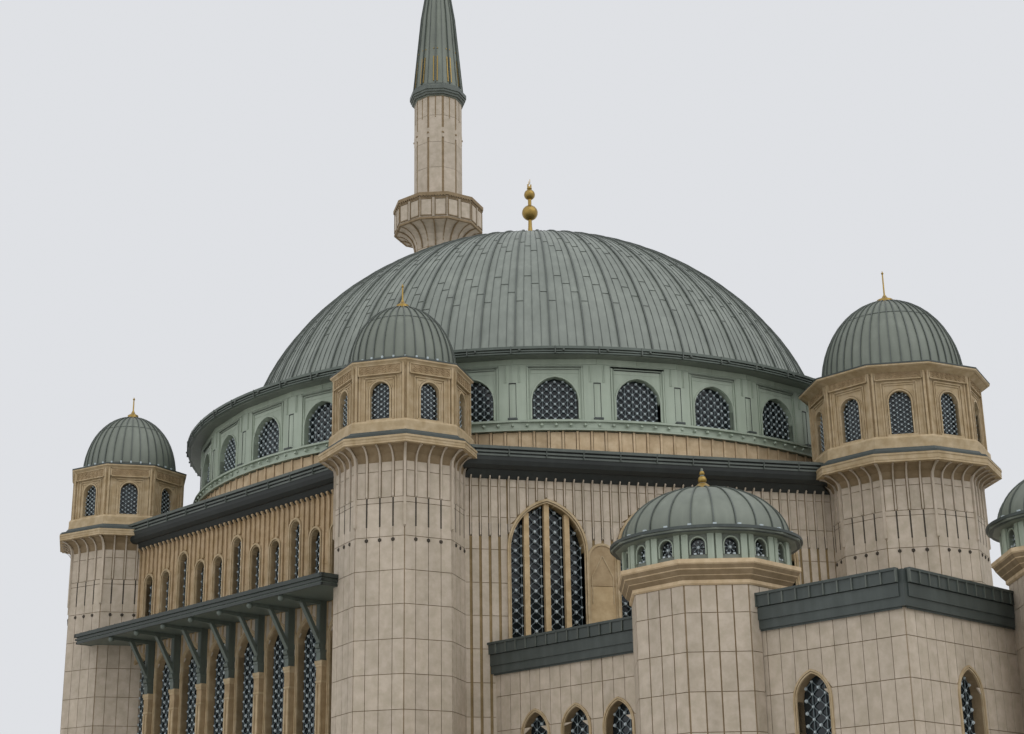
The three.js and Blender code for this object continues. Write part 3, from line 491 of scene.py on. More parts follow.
caps = bmesh.new()
bmesh.ops.create_cone(caps, cap_ends=True, segments=8, radius1=0.05, radius2=0.035, depth=0.05,
                      matrix=Matrix.Translation((0.3, -14.77, 20.6)) @ Matrix.Rotation(math.pi / 2, 4, "X"))
around(caps, SEAM_COUNT)
piece("cornice_caps", caps, seam_metal, smooth=40)

snow_guard = bmesh.new()
block(snow_guard, (-0.01, 0.01), relief(GUARD_RADIUS, 0.01), (20.78, GUARD_HEIGHT + 0.02))
around(snow_guard, GUARD_POSTS)
hoop(snow_guard, GUARD_RADIUS - GUARD_HALF, GUARD_RADIUS + GUARD_HALF, GUARD_HEIGHT,
     GUARD_HEIGHT + 2 * GUARD_HALF, DOME_SIDES)
piece("snow_guard_rail", snow_guard, seam_metal)


# Drum: thirty bays of painted sheet. Each has a pointed window in a double raised frame; between two
# windows stands a flat pilaster with a sunk slot, two raised lines and a small lamp box at its foot.
DRUM_FLAT = 14.07
BAY_HALF = 1.479
BAYS = 30
DRUM_WINDOW = (0.81, 18.28, 18.95, 19.82)
FRAME_TOP = 20.21
FRAME_FOOT = 18.2
DRUM_TOP = 20.47
FRAME_EDGE = 0.98
PILASTER_TOP = 20.26
SLOT_TOP = 19.6
LATTICE_BEHIND = 0.16
RING_SLABS = 180
DRUM_PITCH = (0.145, 0.27)
DRUM_STUDS = (0.052, 0.046)


def arch_shape(outline):
    """How far the centre of each side's arc lies past the middle, and the arc's radius."""
    half, _, spring, top = outline
    rise = top - spring
    shift = (rise * rise - half * half) / (2 * half)
    return shift, half + shift


def head_height(x, outline):
    """How high an arched outline stands at a distance from its middle."""
    shift, radius = arch_shape(outline)
    along = min(abs(x), outline[0]) + shift
    return outline[2] + math.sqrt(max(radius * radius - along * along, 0))


def arch_points(outline, steps):
    """An arched outline (half width, sill, spring, top) from its right foot to its left foot."""
    half, sill, spring, top = outline
    shift, radius = arch_shape(outline)
    sweep = math.atan2(top - spring, shift)
    arc = [(radius * math.cos(sweep * i / steps) - shift,
            spring + radius * math.sin(sweep * i / steps)) for i in range(steps)]
    right = [(half, sill)] + arc
    return right + [(0, top)] + [(-x, z) for x, z in reversed(right)]


def grown(outline, by):
    """An arched outline moved outwards, its sill kept."""
    half, sill, spring, top = outline
    return (half + by, sill, spring, top + by * 1.1)


def arch_band(bm, inner, outer, y, x=0.0, steps=8):
    """A moulding that follows an arched opening, between two outlines."""
    rows = [[bm.verts.new((x + px, y[0], pz)) for px, pz in arch_points(outline, steps)]
            for outline in (inner, outer)]
    faces = [bm.faces.new((a, b, d, c)) for a, b, c, d in zip(rows[0], rows[0][1:], rows[1], rows[1][1:])]
    new = bmesh.ops.extrude_face_region(bm, geom=faces, use_keep_orig=True)["geom"]
    bmesh.ops.translate(bm, verts=[v for v in new if isinstance(v, bmesh.types.BMVert)],
                        vec=(0, y[1] - y[0], 0))


def arch_plate(bm, outline, y, x=0.0, steps=8):
    """A flat plate in the shape of an arched opening."""
    face = bm.faces.new([bm.verts.new((x + px, y[0], pz)) for px, pz in arch_points(outline, steps)])
    grow(bm, face, (0, y[1] - y[0], 0))


def beam(bm, start, end, y, thick):
    """A thin straight bar between two (x, height) points in a wall."""
    (ax, az), (bx, bz) = start, end
    middle = Matrix.Translation(((ax + bx) / 2, y, (az + bz) / 2))
    turn = Matrix.Rotation(-math.atan2(bz - az, bx - ax), 4, "Y")
    size = Matrix.Diagonal((math.hypot(bx - ax, bz - az), thick, thick, 1))
    bmesh.ops.create_cube(bm, size=1, matrix=middle @ turn @ size)


def stud(bm, x, z, y, radius):
    """A small round boss on the face of a wall or a lattice."""
    place = Matrix.Translation((x, y, z)) @ Matrix.Rotation(math.pi / 2, 4, "X")
    bmesh.ops.create_cone(bm, cap_ends=True, segments=6, radius1=radius, radius2=radius * 0.6,
                          depth=radius * 0.8, matrix=place)


def screen(bars, studs, outline, middle, light, pitch, y, sizes, thick):
    """Cast tracery in one light of a window: studs on a staggered grid, joined by thin bars."""
    grid = (light[0] + light[1]) / 2
    columns = int((light[1] - light[0]) / 2 / pitch[0] + 0.35)
    rows = int((outline[3] - outline[1]) / pitch[1]) + 2
    placed = {}
    for i in range(-columns, columns + 1):
        for j in range(rows):
            x = grid + i * pitch[0]
            z = outline[1] + pitch[1] * (j + (0.7 if i % 2 else 0.2))
            if z < head_height(x - middle, outline) - 0.02:
                placed[i, j] = (x, z)
    for (i, j), (x, z) in placed.items():
        stud(studs, x, z, y - thick, sizes[i % 2])
        across = j + 1 if i % 2 else j - 1
        for other in [(i + 1, j), (i + 1, across)] + ([(i, j + 1)] if i % 2 else []):
            if other in placed:
                beam(bars, (x, z), placed[other], y, thick)


def flank(side, near, far, middle=0.0):
    """Left and right limits of what stands on one side of a middle line."""
    return sorted((middle + side * near, middle + side * far))


bay_frames = bmesh.new()
for side in (-1, 1):
    for near, far, proud in ((0.93, 0.98, 0.05), (0.85, 0.88, 0.035)):
        block(bay_frames, flank(side, near, far), relief(DRUM_FLAT, proud),
              (FRAME_FOOT, FRAME_TOP - (FRAME_EDGE - far)))
        block(bay_frames, (-far, far), relief(DRUM_FLAT, proud),
              (FRAME_TOP - (FRAME_EDGE - near), FRAME_TOP - (FRAME_EDGE - far)))
arch_band(bay_frames, DRUM_WINDOW, grown(DRUM_WINDOW, 0.045), relief(DRUM_FLAT, 0.05, 0.3), steps=10)
for x in (1.215, 1.265):
    for side in (-1, 1):
        block(bay_frames, (side * x - 0.014, side * x + 0.014), relief(DRUM_FLAT, 0.05),
              (19.62, PILASTER_TOP))
around(bay_frames, BAYS)
piece("drum_frames", bay_frames, sage_metal, smooth=30)

bay_panels = bmesh.new()
for side in (-1, 1):
    block(bay_panels, flank(side, 1.0, 1.36), relief(DRUM_FLAT, 0.025), (FRAME_FOOT, PILASTER_TOP))
    block(bay_panels, flank(side, 1.37, BAY_HALF + 0.002), relief(DRUM_FLAT, 0.012), (FRAME_FOOT, 19.56))
    block(bay_panels, flank(side, 1.36, BAY_HALF + 0.002), relief(DRUM_FLAT, 0.025),
          (SLOT_TOP, PILASTER_TOP))
    block(bay_panels, flank(side, 0.008, BAY_HALF - 0.008), relief(DRUM_FLAT, 0.02), (20.275, DRUM_TOP))
block(bay_panels, (-0.84, 0.84), relief(DRUM_FLAT, 0.012), (19.95, 20.17))
around(bay_panels, BAYS)
piece("drum_panels", bay_panels, sage_metal)

# The slots take the near-black soffit sheet: painted shade for the shade inside a sunk slot
bay_slots = bmesh.new()
for side in (-1, 1):
    block(bay_slots, flank(side, 1.36, BAY_HALF + 0.001), relief(DRUM_FLAT, 0.027), (19.56, SLOT_TOP))
    block(bay_slots, flank(side, 1.352, 1.366), relief(DRUM_FLAT, 0.027), (18.35, SLOT_TOP))
around(bay_slots, BAYS)
piece("drum_slots", bay_slots, soffit_metal)

lamp_boxes = bmesh.new()
lamp = block(lamp_boxes, (-0.17, 0.17), (-DRUM_FLAT - 0.28, -DRUM_FLAT - 0.12), (18.2, 18.29))
bmesh.ops.bevel(lamp_boxes, geom=list({e for v in lamp for e in v.link_edges}), offset=0.02, segments=2,
                profile=0.5, affect="EDGES", material=-1)
turned_by(lamp_boxes, 180 / BAYS)
around(lamp_boxes, BAYS)
piece("drum_lamp_boxes", lamp_boxes, eave_metal)

bay_panes = bmesh.new()
arch_plate(bay_panes, grown(DRUM_WINDOW, 0.01), relief(DRUM_FLAT, -0.24, 0.27), steps=8)
around(bay_panes, BAYS)
piece("drum_panes", bay_panes, glass)

bay_bars = bmesh.new()
bay_studs = bmesh.new()
screen(bay_bars, bay_studs, DRUM_WINDOW, 0, (-DRUM_WINDOW[0], DRUM_WINDOW[0]), DRUM_PITCH,
       -DRUM_FLAT + LATTICE_BEHIND, DRUM_STUDS, 0.018)
around(bay_bars, BAYS)
around(bay_studs, BAYS)
piece("drum_tracery", bay_bars, tracery)
piece("drum_tracery_studs", bay_studs, stud_material)

ledge_bosses = bmesh.new()
stud(ledge_bosses, 0, 17.99, -14.4, 0.065)
around(ledge_bosses, RING_SLABS)
piece("ledge_bosses", ledge_bosses, sage_metal, smooth=40)

ledge_lines = bmesh.new()
for low, high, radius in ((18.1, 18.17, 14.42), (17.8, 17.86, 14.4)):
    hoop(ledge_lines, 14.2, radius, low, high, 90)
piece("ledge_lines", ledge_lines, sage_metal, smooth=30)

# Paler sandstone on the ring: painted light that offsets the shade under the ledge
ring_panels = bmesh.new()
block(ring_panels, (-0.205, 0.175), (-14.26, -14.0), (16.62, 17.76))
block(ring_panels, (0.195, 0.27), (-14.3, -14.0), (16.62, 17.79))
around(ring_panels, RING_SLABS)
piece("drum_ring_panels", ring_panels, ring_stone)


# Main finial: gilded copper, a ribbed collar, a ball, a neck and a smaller ball, then a thin tip that
# forks into two blades.
FINIAL_BALLS = ((0.36, 32.3), (0.25, 33.2))


def ball_points(radius, height, neck, steps=10):
    """Half a ball on a neck, from its lower to its upper end."""
    start = math.acos(neck / radius)
    angles = [-start + 2 * start * i / steps for i in range(steps + 1)]
    return [(radius * math.cos(a), height + radius * math.sin(a)) for a in angles]


finial = bmesh.new()
finial_profile = [(0, 30.12), (0.6, 30.12), (0.64, 30.2), (0.62, 30.38), (0.5, 30.7), (0.3, 31.0),
                  (0.12, 31.3), (0.09, 31.62)]
for radius, height in FINIAL_BALLS:
    finial_profile += ball_points(radius, height, 0.08)
finial_profile += [(0.12, 33.5), (0.08, 33.6), (0, 33.62)]
ring(finial, finial_profile, 32, closed=False)
for side in (-1, 1):
    block(finial, (side * 0.07 - 0.03, side * 0.07 + 0.03), (-0.012, 0.012), (33.5, 33.72))
    rib(finial, [(side * 0.06, 33.7), (side * 0.12, 33.78), (side * 0.11, 33.93), (side * 0.08, 33.78)],
        (-0.012, 0.012))
finial_grooves = bmesh.new()
rib(finial_grooves, [(0.645, 30.2), (0.628, 30.38), (0.508, 30.7), (0.3, 31.01), (0.28, 30.9), (0.5, 30.2)],
    (-0.012, 0.012))
around(finial_grooves, 12)
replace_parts(piece("finial_gilding", finial, gold_leaf, smooth=40), "main_finial")
piece("finial_collar_ribs", finial_grooves, gold_leaf)


# Corner towers: honed stone shafts with thin upright fins that curl out under the lip, slots beside
# the fins and round sockets below, both painted near black as painted shade. Above the lip stands a carved
# lantern under a seamed metal dome.
SMALL_TOWER = {
    "sides": 8, "centre": 17.0, "shaft": 2.13, "lip": 2.69, "wall": 2.22, "eave": 2.36,
    "foot": 15.7, "lip_bottom": 16.19, "lip_top": 16.4, "band": 17.0, "eave_top": 19.08,
    "dome": 1.8, "dome_top": 21.56, "tip": 22.5, "window": (0.33, 17.07, 18.01, 18.34),
    "seams": 32, "frame": 0.55,
}
LARGE_TOWER = {
    "sides": 10, "centre": 18.05, "shaft": 2.67, "lip": 3.35, "wall": 2.91, "eave": 3.28,
    "foot": 15.62, "lip_bottom": 16.06, "lip_top": 16.33, "band": 16.97, "eave_top": 19.49,
    "dome": 2.46, "dome_top": 22.75, "tip": 24.04, "window": (0.37, 17.06, 18.22, 18.59),
    "seams": 44, "frame": 0.6,
}
SHAFT_JOINTS = (15.37, 14.34, 13.26, 12.19)
COURSE = 1.07
SLAB_JOINT = 0.02
SLAB_DEPTH = 0.03
FIN_PLACES = (-0.44, 0.0, 0.44)
FIN_HALF = 0.028
FIN_DEPTH = 0.075
FIN_FOOT = 14.5
CORNER_FOOT = 13.55
SLOT = (13.58, 14.52)
SOCKET_HEIGHT = 13.16
FIN_JOINT = 0.055
SLOT_HALF = 0.026
SMALL_DOME_SIDES = 88
FRIEZE_FOOT = 0.52
FRIEZE_DEPTH = 0.075
WAVE_LENGTH = 0.19
LANTERN_PITCH = (0.11, 0.17)
LANTERN_STUDS = (0.036, 0.03)


def courses(joints, top, foot=0.0):
    """Pairs of heights between the level joints of a wall, carried on down to the ground."""
    heights = [top] + list(joints)
    while heights[-1] - COURSE > foot + 0.4:
        heights.append(heights[-1] - COURSE)
    heights.append(foot)
    return list(zip(heights[1:], heights))


def quarter_turn(steps):
    """Angles from level to upright."""
    return [math.pi / 2 * i / steps for i in range(steps + 1)]


def shaft_face(kind):
    """One side of a shaft: its slabs, fins, and the slots and sockets beside them."""
    slabs, fins, slots = bmesh.new(), bmesh.new(), bmesh.new()
    flat = kind["shaft"] * math.cos(math.pi / kind["sides"])
    half = kind["shaft"] * math.sin(math.pi / kind["sides"])
    lines = [-half, *FIN_PLACES, half]
    for low, high in courses(SHAFT_JOINTS, kind["foot"] - 0.02):
        for left, right in zip(lines, lines[1:]):
            for inset, z in ((FIN_JOINT, (max(low, SLOT[1]), high)),
                             (SLAB_JOINT / 2, (low, min(high, SLOT[1])))):
                if z[1] - z[0] > 0.1:
                    block(slabs, (left + inset, right - inset), relief(flat, SLAB_DEPTH),
                          (z[0] + SLAB_JOINT / 2, z[1] - SLAB_JOINT / 2))
    lip = (kind["lip"] - 0.06) * math.cos(math.pi / kind["sides"])
    rise = kind["lip_bottom"] - kind["foot"]
    curl = [(flat + (lip - flat) * (1 - math.cos(a)) + FIN_DEPTH * math.cos(a),
             kind["foot"] + rise * math.sin(a) - FIN_DEPTH * math.sin(a)) for a in quarter_turn(7)]
    curl += [(lip - 0.05, kind["lip_bottom"] + 0.03), (flat - 0.02, kind["foot"] + 0.1)]
    outline = [(flat + 0.02, FIN_FOOT), (flat + FIN_DEPTH, FIN_FOOT + 0.05)] + curl
    for x in FIN_PLACES:
        rib(fins, outline, (x - FIN_HALF, x + FIN_HALF))
        # Slots and sockets take the near-black stone: painted shade for the shade inside them
        block(slots, (x - SLOT_HALF, x + SLOT_HALF), (-flat - SLAB_DEPTH - 0.004, -flat), SLOT)
        stud(slots, x, SOCKET_HEIGHT, -flat - SLAB_DEPTH, 0.085)
    corner = bmesh.new()
    scale = 1 / math.cos(math.pi / kind["sides"])
    outline[:2] = [(flat + 0.02, CORNER_FOOT), (flat + FIN_DEPTH, CORNER_FOOT + 0.05)]
    rib(corner, [(out * scale, z) for out, z in outline], (-FIN_HALF * 1.5, FIN_HALF * 1.5))
    turned_by(corner, 180 / kind["sides"])
    add_to(fins, corner)
    return slabs, fins, slots


def lantern_face(kind):
    """One side of a lantern: carved members, its frieze, the window's tracery and pane."""
    carving, frieze, bars, studs, panes = (bmesh.new() for _ in range(5))
    flat = kind["wall"] * math.cos(math.pi / kind["sides"])
    half = kind["wall"] * math.sin(math.pi / kind["sides"])
    top = kind["eave_top"] - FRIEZE_FOOT
    window = kind["window"]
    for side in (-1, 1):
        for near, far, proud, head in ((0.015, 0.085, 0.1, kind["eave_top"] - 0.12),
                                       (0.115, 0.175, 0.04, top)):
            block(carving, flank(side, half - near, half - far), relief(flat, proud),
                  (kind["band"] + 0.02, head))
        for edge, proud in ((kind["frame"], 0.045), (kind["frame"] - 0.08, 0.03)):
            block(carving, flank(side, edge, edge - 0.035), relief(flat, proud),
                  (kind["band"] + 0.03, top - 0.06 - (kind["frame"] - edge)))
    for edge, proud in ((kind["frame"], 0.045), (kind["frame"] - 0.08, 0.03)):
        head = top - 0.06 - (kind["frame"] - edge)
        block(carving, (-edge, edge), relief(flat, proud), (head - 0.035, head))
    arch_band(carving, window, grown(window, 0.05), relief(flat, 0.06, 0.16))
    arch_band(carving, grown(window, 0.075), grown(window, 0.105), relief(flat, 0.035))
    block(carving, (-window[0] - 0.12, window[0] + 0.12), relief(flat, 0.1, 0.14),
          (window[1] - 0.07, window[1]))
    front = -flat - FRIEZE_DEPTH
    for z in ((top, top + 0.035), (top + 0.315, top + 0.35)):
        block(carving, (-half + 0.1, half - 0.1), (front - 0.03, -flat + 0.01), z)
    for side in (-1, 1):
        block(carving, flank(side, half - 0.1, half - 0.14), (front - 0.03, -flat + 0.01),
              (top, top + 0.35))
    block(frieze, (-half + 0.14, half - 0.14), (front, -flat + 0.01), (top + 0.035, top + 0.315))
    waves = round((2 * half - 0.28) / WAVE_LENGTH)
    reach = (2 * half - 0.3) / waves
    for i in range(waves):
        x = (i - (waves - 1) / 2) * reach
        for line, height in ((0.08, 0.09), (0.0, 0.05), (-0.08, 0.09)):
            crest = top + 0.175 + line + (0.02 if i % 2 else -0.02)
            beam(frieze, (x - reach / 2, crest - height / 2), (x, crest + height / 2), front - 0.012, 0.022)
            beam(frieze, (x, crest + height / 2), (x + reach / 2, crest - height / 2), front - 0.012, 0.022)
    screen(bars, studs, window, 0, (-window[0], window[0]), LANTERN_PITCH, -flat + 0.1, LANTERN_STUDS,
           0.014)
    arch_plate(panes, grown(window, 0.01), relief(flat, -0.15, 0.18))
    return carving, frieze, bars, studs, panes


def tower_rings(kind):
    """What runs round a tower: lip, flashing, cornice and eave, each its own piece."""
    sides = kind["sides"]
    lip, dark, cornice = bmesh.new(), bmesh.new(), bmesh.new()
    low, high = kind["lip_bottom"], kind["lip_top"]
    edge = kind["lip"] + 0.03
    ring(lip, [(edge - 0.3, low - 0.02), (edge - 0.04, low - 0.02), (edge, low + 0.05), (edge, high - 0.04),
               (edge - 0.03, high), (edge - 0.3, high)], sides)
    slope = [(kind["lip"] - 0.05, high + 0.005), (kind["lip"] - 0.12, high + 0.06),
             (kind["wall"] + 0.2, high + 0.24), (kind["wall"] + 0.1, high + 0.24),
             (kind["wall"] + 0.1, high + 0.005)]
    ring(dark, slope, sides)
    base = kind["wall"] + 0.18
    ring(cornice, [(base - 0.2, high + 0.22), (base, high + 0.22), (base, kind["band"] - 0.06),
                   (base - 0.05, kind["band"] + 0.02), (base - 0.2, kind["band"] + 0.02)], sides)
    for r, z0, z1 in ((edge, low - 0.03, low + 0.02), (edge + 0.02, high - 0.075, high - 0.005)):
        hoop(lip, r - 0.25, r, z0, z1, sides)
    for z in (high + 0.012, high + 0.055):
        ring(dark, [(kind["lip"] - 0.2, z), (kind["lip"] + 0.04 - (z - high), z),
                    (kind["lip"] + 0.04 - (z - high), z + 0.035), (kind["lip"] - 0.2, z + 0.035)], sides)
    top = kind["eave_top"]
    ring(cornice, [(kind["eave"] - 0.3, top - 0.13), (kind["eave"] - 0.02, top - 0.13),
                   (kind["eave"] + 0.04, top - 0.09), (kind["eave"] + 0.04, top - 0.04),
                   (kind["eave"] - 0.3, top - 0.04)], sides)
    ring(dark, [(kind["eave"] - 0.3, top - 0.035), (kind["eave"] + 0.05, top - 0.035),
                (kind["eave"] + 0.05, top + 0.012), (kind["eave"] - 0.3, top + 0.02)], sides)
    return lip, dark, cornice


def tower_roof(kind):
    """A lantern's dome: skin, folded seams, a ring of small bright guards and a gilded finial."""
    skin, seams, guards, gold = (bmesh.new() for _ in range(4))
    foot = kind["eave_top"] + 0.12
    rim = kind["eave"] * math.cos(math.pi / kind["sides"]) - 0.06
    shape = {"radius": kind["dome"], "rise": kind["dome_top"] - foot, "centre": foot}
    skirt = [(0, foot - 0.118), (rim, foot - 0.118), (rim, foot - 0.07), (kind["dome"] + 0.1, foot - 0.05),
             (kind["dome"] + 0.08, foot)]
    ring(skin, skirt + dome_curve(shape, 0, 0.02, math.pi / 2, 20), SMALL_DOME_SIDES, closed=False)
    seam(seams, shape, 0.045, 0.035, 0.02, 1.5, 12)
    around(seams, kind["seams"])
    joint = dome_curve(shape, -0.012, 0.78, 0.795, 1)
    ring(seams, joint + [(r - 0.06, z) for r, z in joint[::-1]], SMALL_DOME_SIDES)
    hoop(seams, kind["dome"] + 0.02, kind["dome"] + 0.11, foot, foot + 0.04, SMALL_DOME_SIDES)
    block(guards, (-0.03, 0.03), (-kind["dome"] - 0.15, -kind["dome"] - 0.1), (foot - 0.01, foot + 0.07))
    around(guards, kind["seams"])
    collar = 0.17 * kind["dome"]
    top = kind["dome_top"]
    rod = [(0, top - 0.1), (collar, top - 0.07), (collar, top + 0.02), (collar * 0.72, top + 0.05),
           (collar * 0.7, top + 0.14), (collar * 0.3, top + 0.22), (0.03, top + 0.36),
           (0.025, kind["tip"] - 0.16)]
    rod += ball_points(0.045, kind["tip"] - 0.1, 0.02, 6) + [(0.012, kind["tip"] - 0.02), (0, kind["tip"])]
    ring(gold, rod, 24, closed=False)
    return skin, seams, guards, gold


TOWERS = {
    "right": (0, SMALL_TOWER), "back_right": (60, SMALL_TOWER), "back_left": (120, LARGE_TOWER),
    "left": (180, SMALL_TOWER), "front_left": (240, SMALL_TOWER), "front_right": (300, LARGE_TOWER),
}
for kind in (SMALL_TOWER, LARGE_TOWER):
    slabs, fins, slots = shaft_face(kind)
    carving, frieze, bars, studs, panes = lantern_face(kind)
    for unit in (slabs, fins, slots, carving, frieze, bars, studs, panes):
        around(unit, kind["sides"])
    lip, dark, cornice = tower_rings(kind)
    skin, seams, guards, gold = tower_roof(kind)
    for name, (angle, tower_kind) in TOWERS.items():
        if tower_kind is not kind:
            continue
        place = Matrix.Rotation(math.radians(angle), 4, "Z") @ Matrix.Translation((kind["centre"], 0, 0))
        for part, bm, material, slot_name, smooth in (
            ("slabs", slabs, pale_stone, "plain_stone", None),
            ("fins", fins, pale_stone, "plain_stone", 40),
            ("slots", slots, shadow_stone, "plain_stone", None),
            ("lip", lip, warm_stone, "warm_stone", None),
            ("flashing", dark, eave_metal, "dark_metal", None),
            ("carving", carving, warm_stone, "warm_stone", 30),
            ("cornice", cornice, warm_stone, "warm_stone", None),
            ("frieze", frieze, niche_stone, "warm_stone", None),
            ("tracery", bars, tracery, "sage_metal", None),
            ("studs", studs, stud_material, "sage_metal", None),
            ("panes", panes, glass, "glass", None), ("roof_skin", skin, small_dome_metal, "roof_metal", 40),
            ("roof_seams", seams, seam_metal, "roof_metal", 50),
            ("guards", guards, stud_material, "sage_metal", None),
            ("finial", gold, gold_leaf, "gilt_metal", 40),
        ):
            made = piece(f"tower_{name}_{part}", bm, material, place, smooth)
            if part == "roof_skin":
                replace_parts(made, f"tower_{name}_dome")


# Hall walls: limestone slabs a third of a metre wide stand between upright ochre grooves. From the arch
# springings up, a thin fin stands in each groove, over a slot painted near black as painted shade, and
# curls out under the eave.
# Blind niches stand between three tall pointed windows with stone mullions and cast tracery.
HALL_FACE = 15.18
WALL_HEAD = 15.66
WALL_JOINTS = (15.39, 14.36, 13.28, 12.18)
FIN_LINES = [0.1 + 0.32 * i for i in range(-21, 21)]
LINE_SLOT = (13.72, 14.15)
WALL_ZONES = ((0.0, LINE_SLOT[0], 0.048), (*LINE_SLOT, 0.048), (LINE_SLOT[1], WALL_HEAD, 0.05))
TALL_WINDOW = (1.25, 10.3, 13.3, 14.9)
TALL_FRAME = (1.37, 10.25, 13.3, 15.04)
TALL_PLACES = (-3.72, 0.0, 3.72)
MULLIONS = (-0.69, 0.0, 0.69)
TALL_PITCH = (0.2, 0.33)
TALL_STUDS = (0.07, 0.05)
LIGHTS = ((-1.25, -0.775), (-0.605, -0.085), (0.085, 0.605), (0.775, 1.25))
NICHE = (0.43, 8.8, 13.11, 13.54)
NICHE_PLACES = (-1.86, 1.86)
NICHE_SILL = (12.17, 12.19)
NICHE_LINE = 0.36
DOORWAY = (1.2, 0.0, 2.6, 3.8)
DOOR_FRAME = (1.42, 0.0, 2.6, 4.04)
LOWER_SPACING = 1.735
LOWER_PLACES = [(i - 3.5) * LOWER_SPACING for i in range(8)]
LOWER_WINDOW = (0.53, 5.0, 8.9, 9.6)
LOWER_PITCH = (0.21, 0.33)
LOWER_STUDS = (0.06, 0.045)
WINDOW_EDGE = 0.1
LEAST_WIDTH = 0.02
LEAST_HEIGHT = 0.05
LEAST_OVER_ARCH = 0.03


def slab(bm, x, z, openings, face):
    """One facing slab, cut round the arched opening (middle, outline) that it meets."""
    y = relief(face, SLAB_DEPTH)
    for centre, outline in openings:
        heads = sorted(head_height(side - centre, outline) for side in x)
        if abs((x[0] + x[1]) / 2 - centre) < outline[0] and z[0] < heads[1] and z[1] > outline[1]:
            if outline[1] - z[0] > LEAST_HEIGHT:
                block(bm, x, y, (z[0], outline[1]))
            if z[1] - heads[0] > LEAST_OVER_ARCH:
                for v in block(bm, x, y, (max(z[0], outline[1]), z[1])):
                    if v.co.z < z[1] - 0.01:
                        v.co.z = min(max(v.co.z, head_height(v.co.x - centre, outline)), z[1] - 0.008)
            return
    block(bm, x, y, z)


def lay_slabs(bm, lines, zones, pairs, openings, face):
    """Slabs between upright lines and level joints; each zone (low, high, inset) has its own groove."""
    for left, right in zip(lines, lines[1:]):
        for zone_low, zone_high, inset in zones:
            near, far = left + inset, right - inset
            edges = [c + s * o[0] for c, o in openings for s in (-1, 1)]
            cuts = [near] + sorted(e for e in edges if near < e < far) + [far]
            for x in zip(cuts, cuts[1:]):
                for low, high in pairs:
                    z = (max(low + SLAB_JOINT / 2, zone_low), min(high - SLAB_JOINT / 2, zone_high))
                    if z[1] - z[0] > LEAST_HEIGHT and x[1] - x[0] > LEAST_WIDTH:
                        slab(bm, x, z, openings, face)


def curled_fin(bm, x, half, face, foot, head):
    """A thin fin that curls out at the top."""
    rib(bm, [(face - 0.01, foot), (face + 0.07, foot + 0.04), (face + 0.07, head - 0.2),
             (face + 0.1, head - 0.07), (face + 0.17, head + 0.02), (face + 0.17, head + 0.07),
             (face - 0.01, head + 0.07)], (x - half, x + half))


def fin_foot(x, lowest, openings):
    """Where a fin starts: at its usual foot, or on top of the opening below it."""
    return max([lowest] + [head_height(x - c, o) + 0.02 for c, o in openings if abs(x - c) < o[0] + 0.03])


def arched_window(trim, panes, bars, studs, x, outline, face, depth, columns, pitch, sizes):
    """A small arched window: moulded edge, lined reveal, tracery and pane."""
    arch_band(trim, outline, grown(outline, 0.035), (-face - 0.055, -face + depth + 0.1), x)
    arch_band(trim, grown(outline, 0.05), grown(outline, WINDOW_EDGE), relief(face, 0.07), x)
    arch_plate(panes, grown(outline, 0.02), (-face + depth + 0.03, -face + depth + 0.06), x)
    screen(bars, studs, outline, x, (x - columns * pitch[0], x + columns * pitch[0]), pitch, -face + depth,
           sizes, 0.022)


tall_frames = [(x, TALL_FRAME) for x in TALL_PLACES]
niche_edges = [(x, grown(NICHE, 0.08)) for x in NICHE_PLACES]
lower_frames = [(x, grown(LOWER_WINDOW, WINDOW_EDGE)) for x in LOWER_PLACES]
wall_courses = courses(WALL_JOINTS, WALL_HEAD)
wall_slabs = {}
for kind, openings in (
    ("door", tall_frames + niche_edges + [(0.0, DOOR_FRAME)]),
    ("lower", tall_frames + niche_edges + lower_frames),
    ("back", tall_frames + niche_edges),
):
    wall_slabs[kind] = bmesh.new()
    lay_slabs(wall_slabs[kind], FIN_LINES, WALL_ZONES, wall_courses, openings, HALL_FACE)

wall_fins = bmesh.new()
wall_slots = bmesh.new()
for x in FIN_LINES:
    foot = fin_foot(x, LINE_SLOT[0], tall_frames)
    if foot < WALL_HEAD - 0.3:
        curled_fin(wall_fins, x, 0.02, HALL_FACE, foot, WALL_HEAD)
    # Strips beside each fin take the near-black stone: painted shade in the groove
    if foot < LINE_SLOT[1] - 0.1:
        for side in (-1, 1):
            block(wall_slots, flank(side, 0.02, 0.05, x), relief(HALL_FACE, 0.02, 0), (foot, LINE_SLOT[1]))

wall_trim, wall_mullions, wall_panes, wall_bars, wall_studs = (bmesh.new() for _ in range(5))
for x in TALL_PLACES:
    arch_band(wall_trim, grown(TALL_WINDOW, 0.055), TALL_FRAME, relief(HALL_FACE, 0.11, 0.02), x, 12)
    arch_band(wall_trim, TALL_WINDOW, grown(TALL_WINDOW, 0.04), relief(HALL_FACE, 0.07, 0.5), x, 12)
    block(wall_trim, (x - 1.4, x + 1.4), relief(HALL_FACE, 0.14, 0.4),
          (TALL_FRAME[1] - 0.14, TALL_FRAME[1] + 0.04))
    for place in MULLIONS:
        block(wall_mullions, (x + place - 0.085, x + place + 0.085), relief(HALL_FACE, -0.02, 0.24),
              (TALL_WINDOW[1], head_height(place, TALL_WINDOW) + 0.02))
    arch_plate(wall_panes, TALL_WINDOW, relief(HALL_FACE, -0.4, 0.43), x, 12)
    for low, high in LIGHTS:
        screen(wall_bars, wall_studs, TALL_WINDOW, x, (x + low, x + high), TALL_PITCH, -HALL_FACE + 0.3,
               TALL_STUDS, 0.024)

